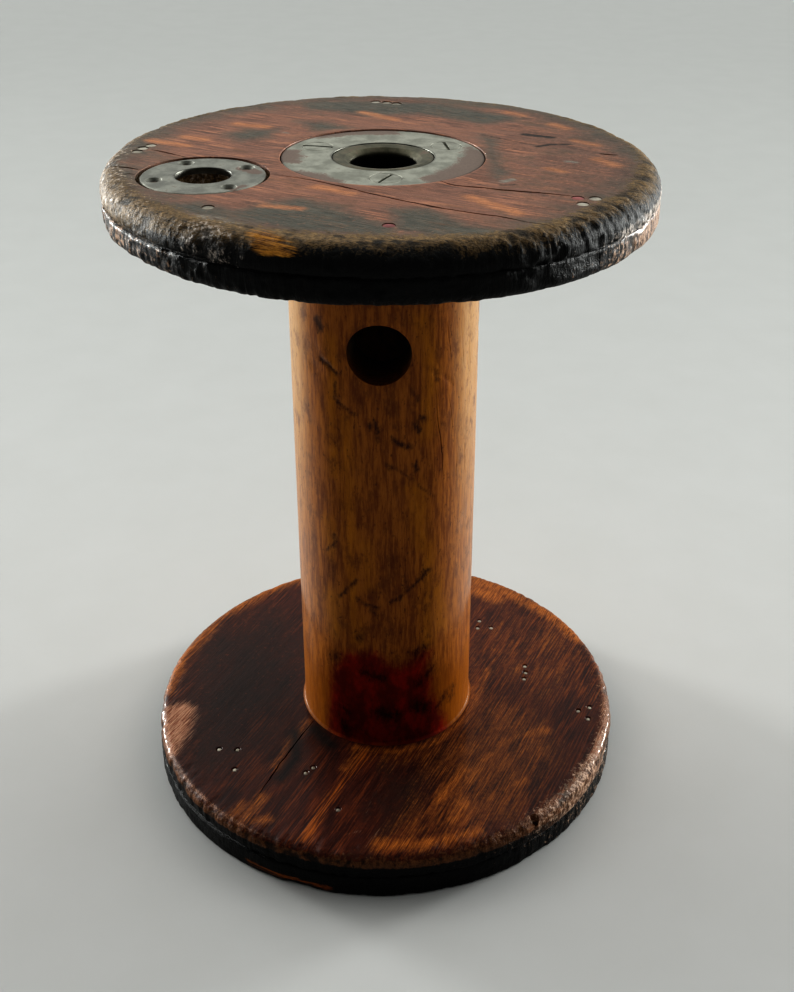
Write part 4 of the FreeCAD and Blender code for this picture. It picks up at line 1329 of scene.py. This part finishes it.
def barrel_finish():
    """The worn varnish of the barrel: its coat shines at a low angle, as old varnish does."""
    finish = new_finish("varnished_barrel")
    streaks = finish.noise(finish.grain(0, 1.6, 1.6, 15), detail=5, roughness=0.65)
    fibres = finish.noise(finish.grain(0, 0.45, 0.45, 4.5), detail=3, roughness=0.6)
    mottle = finish.noise(finish.grain(0, 7, 7, 12), detail=6, roughness=0.7)
    specks = finish.noise(finish.grain(0, 1.4, 1.4, 3.0), detail=4, roughness=0.7)
    tone = finish.blend(finish.step(streaks, 0.36, 0.64), colour(116, 63, 19), colour(158, 98, 35))
    gold = finish.ragged(finish.mask("gold"), streaks * 0.5 + mottle * 0.5, 1.3, 0.4)
    tone = finish.blend(gold * 0.8, tone, colour(176, 114, 18))
    # Paler towards the sides and the top: a painted highlight.
    pale = finish.ragged(finish.mask("pale"), mottle * 0.6 + fibres * 0.4, 0.9, 0.5)
    tone = finish.blend(pale * 0.8, tone, finish.blend(fibres, colour(156, 108, 50), colour(222, 180, 116)))
    tone = finish.blend(finish.step(mottle, 0.48, 0.7, 0, 0.75), tone, colour(88, 42, 13))
    tone = finish.blend(finish.step(fibres, 0.5, 0.78, 0, 0.45), tone, colour(76, 34, 12))
    tone = finish.blend(finish.step(fibres, 0.5, 0.25, 0, 0.3), tone, colour(176, 118, 60))
    tone = finish.blend(finish.step(specks, 0.58, 0.72, 0, 0.75), tone, colour(50, 18, 8))
    amber = finish.ragged(finish.mask("amber"), mottle * 0.6 + streaks * 0.4, 0.9, 0.4)
    tone = finish.blend(amber * 0.85, tone, finish.blend(streaks, colour(94, 46, 1), colour(150, 88, 4)))
    stain = finish.ragged(finish.mask("stain"), mottle * 0.5 + specks * 0.5, 1.2, 0.3)
    deep = finish.blend(finish.step(mottle, 0.35, 0.6), colour(140, 26, 14), colour(92, 14, 8))
    tone = finish.blend(stain * 0.96, tone, deep)
    smear = finish.ragged(finish.mask("smear"), specks * 0.8 + streaks * 0.2, 1.5, 0.3)
    tone = finish.blend(smear * 0.85, tone, colour(34, 8, 6))
    # Nearly black inside the side hole: painted shade.
    tone = finish.blend(finish.mask("soot"), tone, colour(8, 3, 3))
    relief = finish.bump(fibres + streaks * 0.4 + specks * 0.4, 0.12, 0.6)
    facing = Number(finish, finish.node("ShaderNodeLayerWeight", {}, {"Blend": 0.5}).outputs["Facing"])
    return finish.surface({
        "Base Color": tone,
        "Roughness": 0.5 + (mottle - 0.5) * 0.3,
        "Normal": relief,
        "Coat Weight": finish.step(facing, 0.25, 0.7, 0.04, 0.62) * (1 - finish.mask("amber") * 0.97),
        "Coat Roughness": 0.2,
        "Coat IOR": 2.2,
        "Specular IOR Level": 0.05,
        "Sheen Weight": 0.1,
        "Sheen Roughness": 0.3,
        "Sheen Tint": (1.0, 0.8, 0.5),
    })


places = places_of(barrel)
around = unrolled(places)
inside = np.hypot(places[:, 0], places[:, 1]) < BARREL_RADIUS - 2
at_hole = np.hypot(places[:, 0], places[:, 2] - SIDE_HOLE_HEIGHT) < SIDE_BORE + 1
paint(
    barrel,
    stain=patches(around, STAIN, SOFT),
    smear=np.maximum(strokes(around, BARREL_SMEARS, SHARP), strokes(around, STAIN_BLOBS, SOFT)),
    gold=strokes(around, BARREL_GOLD, SOFT),
    amber=ease(places[:, 2], 72, 32),
    # A painted highlight: paler on the sides seen from the front, more so higher up.
    pale=ease(places[:, 2], 50, 235) * ease(np.abs(around[:, 0]), 24, 42) * 0.85,
    # Painted shade on the wall inside the side hole.
    soot=inside * at_hole,
)
hand_over(barrel, barrel_finish(), "barrel_wood", "barrel", crease=50)

# %% [markdown]
# The metal. Plates and bushes are turned steel with worn edges and a brown film of rust where hands
# don't rub. Screw heads and pins lie in cones cut into the plates, and nail heads are hammered domes.

# %% Plates and bushes
RING_STEPS = 240
PLATE_HOLE = BUSH_RADIUS + 0.15


def ring_outline(inner, outer, low, high, bevel, step):
    """A flat ring's outline with rounded edges, from its inner foot round its outer side."""
    return rounded([
        (inner, low, 0.2, step), (outer, low, 0.2, step),
        (outer, high, bevel, 0.3), (inner, high, 0.25, step),
    ])


def upside_down(points, faces):
    """The shape turned half round the X axis and moved to the other end of the bobbin."""
    return points * (1, -1, -1) + (0, 0, UPPER_FACE), faces


def metal_ring(name, outline, centre=(0, 0), flip=False):
    """A turned ring with faint waves in its face, for the upper end or turned over for the lower."""
    points, normals, faces = turned(outline, RING_STEPS, centre)
    points = points - normals * (0.12 * noise(points, 7, 81))[:, None]
    if flip:
        points, faces = upside_down(points, faces)
    return new_object(name, points, faces)


def countersinks(places, radius, top, flip=False):
    """Cones for screw heads or pins, with a level 45 degrees steep, widest just above the face."""
    cones = [turned_solid([
        (0, top - 6), (radius * 0.55, top - 6), (radius * 0.55, top - radius * 0.45), (radius, top),
        (radius, top + 1), (0, top + 1),
    ], 40, place) for place in places]
    return [upside_down(*cone) for cone in cones] if flip else cones


PLATE_FACE = PLATE_HIGH[2]
SCREW_RADIUS = 5.9
SCREWS = sorted(middles("upper_plate_screws"), key=lambda place: place[0])
PIN_RADIUS = 1.95
PINS = middles("drive_plate_pins")
DISH = 3.4
bush_outline = rounded([
    (BUSH_BORE, BUSH_LOW[2], 0.4, 3), (BUSH_RADIUS, BUSH_LOW[2], 0.4, 3),
    (BUSH_RADIUS, PLATE_FACE - 0.25, 0.4, 0.3),
    (BUSH_RADIUS - 1.6, PLATE_FACE, 0.3, 0.6), (BUSH_BORE + DISH * 0.6, PLATE_FACE - 0.55, 0.8, 0.6),
    (BUSH_BORE, PLATE_FACE - 2.2, 1.4, 0.8),
])
centre_plates, bushes = [], []
for end, flip in (("upper", False), ("lower", True)):
    plate_outline = ring_outline(PLATE_HOLE, PLATE_RADIUS, PLATE_LOW[2], PLATE_FACE, 0.5, 0.8)
    plate = metal_ring(f"{end}_centre_ring", plate_outline, flip=flip)
    carve(plate, cutter(f"{end}_countersinks", countersinks(SCREWS, SCREW_RADIUS + 0.12, PLATE_FACE, flip)))
    centre_plates.append(plate)
    bushes.append(metal_ring(f"{end}_dished_bush", bush_outline, flip=flip))
drive_ring = metal_ring(
    "drive_ring", ring_outline(DRIVE_BORE, DRIVE_RADIUS, DRIVE_LOW[2], DRIVE_HIGH[2], 0.8, 0.8), DRIVE_CENTRE,
)
carve(drive_ring, cutter("pin_countersinks", countersinks(PINS, PIN_RADIUS + 1.1, DRIVE_HIGH[2])))

# %% [markdown]
# Each screw head lies flush with its plate and has a slot cut across it. The pins and nail heads are
# low domes, and the nails' points just show in their dimples in the lower head.

# %% Screws, pins and nails


def with_slots(name, heads, angles, flip=False):
    """Countersunk screws, each with a slot across its head turned to its angle."""
    top = PLATE_FACE - 0.05
    screws = [turned_solid(rounded([
        (0, 241, 0, 8), (2.0, 241, 0.3, 4), (2.4, 262.4, 0, 4), (SCREW_RADIUS, top - 0.5, 0.15, 1.2),
        (SCREW_RADIUS - 0.3, top, 0.2, 1.2), (0, top + 0.12, 0, 2),
    ]), 40, place) for place in heads]
    slots = []
    for place, angle in zip(heads, angles):
        turn = math.radians(angle)
        box = np.array(list(itertools.product((-7, 7), (-0.62, 0.62), (top - 1.2, top + 2))))
        box = np.column_stack((
            box[:, 0] * math.cos(turn) - box[:, 1] * math.sin(turn) + place[0],
            box[:, 0] * math.sin(turn) + box[:, 1] * math.cos(turn) + place[1], box[:, 2],
        ))
        sides = np.array([(0, 1, 3, 2), (4, 6, 7, 5), (0, 4, 5, 1), (2, 3, 7, 6), (0, 2, 6, 4), (1, 5, 7, 3)])
        slots.append((box, [sides]))
    if flip:
        screws, slots = [upside_down(*part) for part in screws], [upside_down(*part) for part in slots]
    piece = new_object(name, *join_meshes(screws))
    carve(piece, cutter(f"{name}_slots", slots))
    return piece


def domes(name, places, radius, low, high, rise, unevenness, seed):
    """Round heads from one level to another with a domed top, hammered a little uneven."""
    heads = [turned_solid(rounded([
        (0, low, 0, 1), (radius, low, 0, 1), (radius, high - rise, 0.25, 0.3),
        (radius * 0.55, high - rise * 0.15, 0, 0.6), (0, high, 0, 0.6),
    ]), 28, place) for place in places]
    points, faces = join_meshes(heads)
    top = ease(points[:, 2], low, high)
    points = points - np.array((0, 0, 1)) * (top * unevenness * noise(points, 2.2, seed))[:, None]
    return new_object(name, points, faces)


SLOT_ANGLES = (-7, 67, 101)
NAIL_POINT = 1.35
upper_screws = with_slots("upper_screws", SCREWS, SLOT_ANGLES)
lower_screws = with_slots("lower_screws", SCREWS, SLOT_ANGLES[::-1], flip=True)
pins = domes("sunk_pins", PINS, PIN_RADIUS, 258, DRIVE_HIGH[2] - 0.75, 0.35, 0.3, 91)
upper_nails = domes(
    "upper_nail_heads", middles("upper_head_nails"), NAIL_RADIUS,
    UPPER_FACE - SEAT_DEPTH, UPPER_FACE - 0.05, 0.35, 0.35, 92,
)
lower_nails = domes(
    "lower_nail_points", middles("lower_head_nails"), NAIL_POINT,
    LOWER_INNER_FACE - 1.5, LOWER_INNER_FACE - 0.25, 0.8, 0.3, 93,
)

# %% [markdown]
# Finish of the metal: grey steel with a fine speckle, a film of brown rust that follows the painted
# mask with a ragged border, and near-black painted shade in the gaps round the edges and down the bores.

# %% Finish of the metal


def metal_finish(name, clean, rust, film_amount, roughness, metallic):
    """Metal from a dark to a light clean colour, with rust on its mask and in thin films elsewhere."""
    finish = new_finish(name)
    film = finish.noise(finish.grain(0, 6, 6), detail=5, roughness=0.65)
    speckle = finish.noise(finish.grain(0, 0.9, 0.9), detail=3, roughness=0.7)
    rubbing = finish.noise(finish.grain(30, 7, 0.5), detail=3)
    tone = finish.blend(finish.step(film, 0.35, 0.65), *clean)
    tone = finish.blend(finish.step(speckle, 0.58, 0.76, 0, 0.5), tone, rust[0])
    tone = finish.blend(finish.step(rubbing, 0.6, 0.75, 0, 0.3), tone, clean[1])
    rusty = finish.ragged(finish.mask("rust"), film * 0.6 + speckle * 0.4, 1.6, 0.2)
    rusty = finish.step(rusty + finish.step(film, 0.62, 0.72, 0, film_amount), 0, 1)
    tone = finish.blend(rusty * 0.9, tone, finish.blend(speckle, *rust))
    # Near-black painted shade in gaps and bores.
    tone = finish.blend(finish.mask("dirt"), tone, colour(20, 17, 14))
    return finish.surface({
        "Base Color": tone,
        "Roughness": roughness + (film - 0.5) * 0.3 + rusty * 0.15,
        "Metallic": finish.step(rusty, 0, 1, metallic, metallic * 0.35),
        "Normal": finish.bump(speckle + film, 0.05, 0.6),
    })


RUST = (colour(92, 74, 64), colour(134, 112, 100))
PLATE_RUST = [
    [(14.6, -26.9), (22.8, -14), (26.7, -7.4), (28.8, 3.4), (31.1, 16.1), (40, 4), (37, -17), (27, -30),
     (17.9, -35)],
    [(-38, 5.7), (-31, 6.2), (-29.5, -3), (-29.5, -11.1), (-38, -11.4)],
    [(-30, -21.3), (-20.7, -23.2), (-12, -31.1), (-12.7, -37), (-20.7, -33), (-29, -26.1)],
    [(-29, 29.5), (-16.9, 36), (4.5, 39), (4.8, 31.5), (-16.2, 28.5), (-26, 23.6)],
]
steel = metal_finish("ring_steel", (colour(140, 140, 128), colour(172, 172, 160)), RUST, 0.5, 0.42, 0.8)
dull_steel = metal_finish("drive_steel", (colour(118, 118, 110), colour(150, 150, 141)), RUST, 0.5, 0.45, 0.8)
iron = metal_finish("bush_iron", (colour(80, 78, 64), colour(112, 109, 92)), RUST, 0.4, 0.48, 0.8)
brass = metal_finish("pin_brass", (colour(60, 44, 24), colour(92, 70, 40)), RUST, 0.3, 0.4, 0.9)
nail_metal = metal_finish("nail_steel", (colour(140, 132, 118), colour(188, 182, 168)), RUST, 0.4, 0.4, 0.7)
pink_metal = metal_finish("stained_nail", (colour(120, 64, 62), colour(158, 92, 88)), RUST, 0.3, 0.45, 0.3)


def rim_dirt(piece, radii, centre=(0, 0), width=0.5):
    """Painted shade in the narrow bands about the given radii, where a part meets a gap or a hole."""
    places = places_of(piece)
    radius = np.hypot(places[:, 0] - centre[0], places[:, 1] - centre[1])
    return np.max([np.exp(-((radius - line) / width) ** 2) for line in radii], axis=0)


for plate in centre_plates:
    places = places_of(plate)
    paint(
        plate, rust=patches(places[:, :2], PLATE_RUST, 5),
        # A dark line at both edges of the plate: painted shade in the gaps.
        dirt=0.7 * rim_dirt(plate, (PLATE_RADIUS, PLATE_HOLE)),
    )
for bush in bushes:
    places = places_of(bush)
    depth = np.minimum(UPPER_FACE - places[:, 2], places[:, 2])
    # Down the bore and round its outline the bush darkens: painted shade.
    outline_dirt = 0.5 * rim_dirt(bush, (BUSH_RADIUS,), width=0.35)
    paint(bush, rust=0.35 + 0 * depth, dirt=np.maximum(ease(depth, 1.2, 4.5), outline_dirt))
places = places_of(drive_ring)
around_pins = np.min([np.hypot(*(places[:, :2] - pin).T) for pin in PINS], axis=0)
# Dark rings round the pins and the bore: painted shade in the gaps.
pin_dirt = 0.75 * np.exp(-((around_pins - PIN_RADIUS) / 0.5) ** 2)
bore_dirt = 0.6 * rim_dirt(drive_ring, (DRIVE_BORE,), DRIVE_CENTRE)
DRIVE_RUST = [([(-48, -19), (-43, -24)], 2.4), ([(-45, -40), (-48, -44)], 1.2)]
paint(
    drive_ring, rust=strokes(places[:, :2], DRIVE_RUST, SHARP), dirt=np.maximum(pin_dirt, bore_dirt),
)
for end, plate, bush, screws in zip(("upper", "lower"), centre_plates, bushes, (upper_screws, lower_screws)):
    hand_over(plate, steel, "plate_steel", f"{end}_centre_plate", crease=30)
    hand_over(bush, iron, "bush_iron", f"{end}_bush", crease=30)
    places = places_of(screws)
    rim = np.min([np.abs(np.hypot(*(places[:, :2] - head).T) - SCREW_RADIUS) for head in SCREWS], axis=0)
    # A dark ring round each screw head: painted shade in its gap.
    paint(screws, dirt=0.6 * np.exp(-(rim / 0.35) ** 2))
    hand_over(screws, steel, "screw_steel", f"{end}_plate_screws", crease=30)
hand_over(drive_ring, dull_steel, "plate_steel", "drive_plate", crease=30)
hand_over(pins, brass, "pin_brass", "drive_plate_pins", crease=30)
hand_over(lower_nails, nail_metal, "nail_steel", "lower_head_nails", crease=30)
hand_over(upper_nails, nail_metal, "nail_steel", "upper_head_nails", crease=30)
PINK_NAILS = [(67.4, -46.7), (6.2, -78.7)]
upper_nails.data.materials.append(pink_metal)
face_middles = np.empty(len(upper_nails.data.polygons) * 3)
upper_nails.data.polygons.foreach_get("center", face_middles)
face_middles = face_middles.reshape(-1, 3)[:, :2] / MM
pink = np.min([np.hypot(*(face_middles - nail).T) for nail in PINK_NAILS], axis=0) < 3
upper_nails.data.polygons.foreach_set("material_index", pink.astype(np.int32))
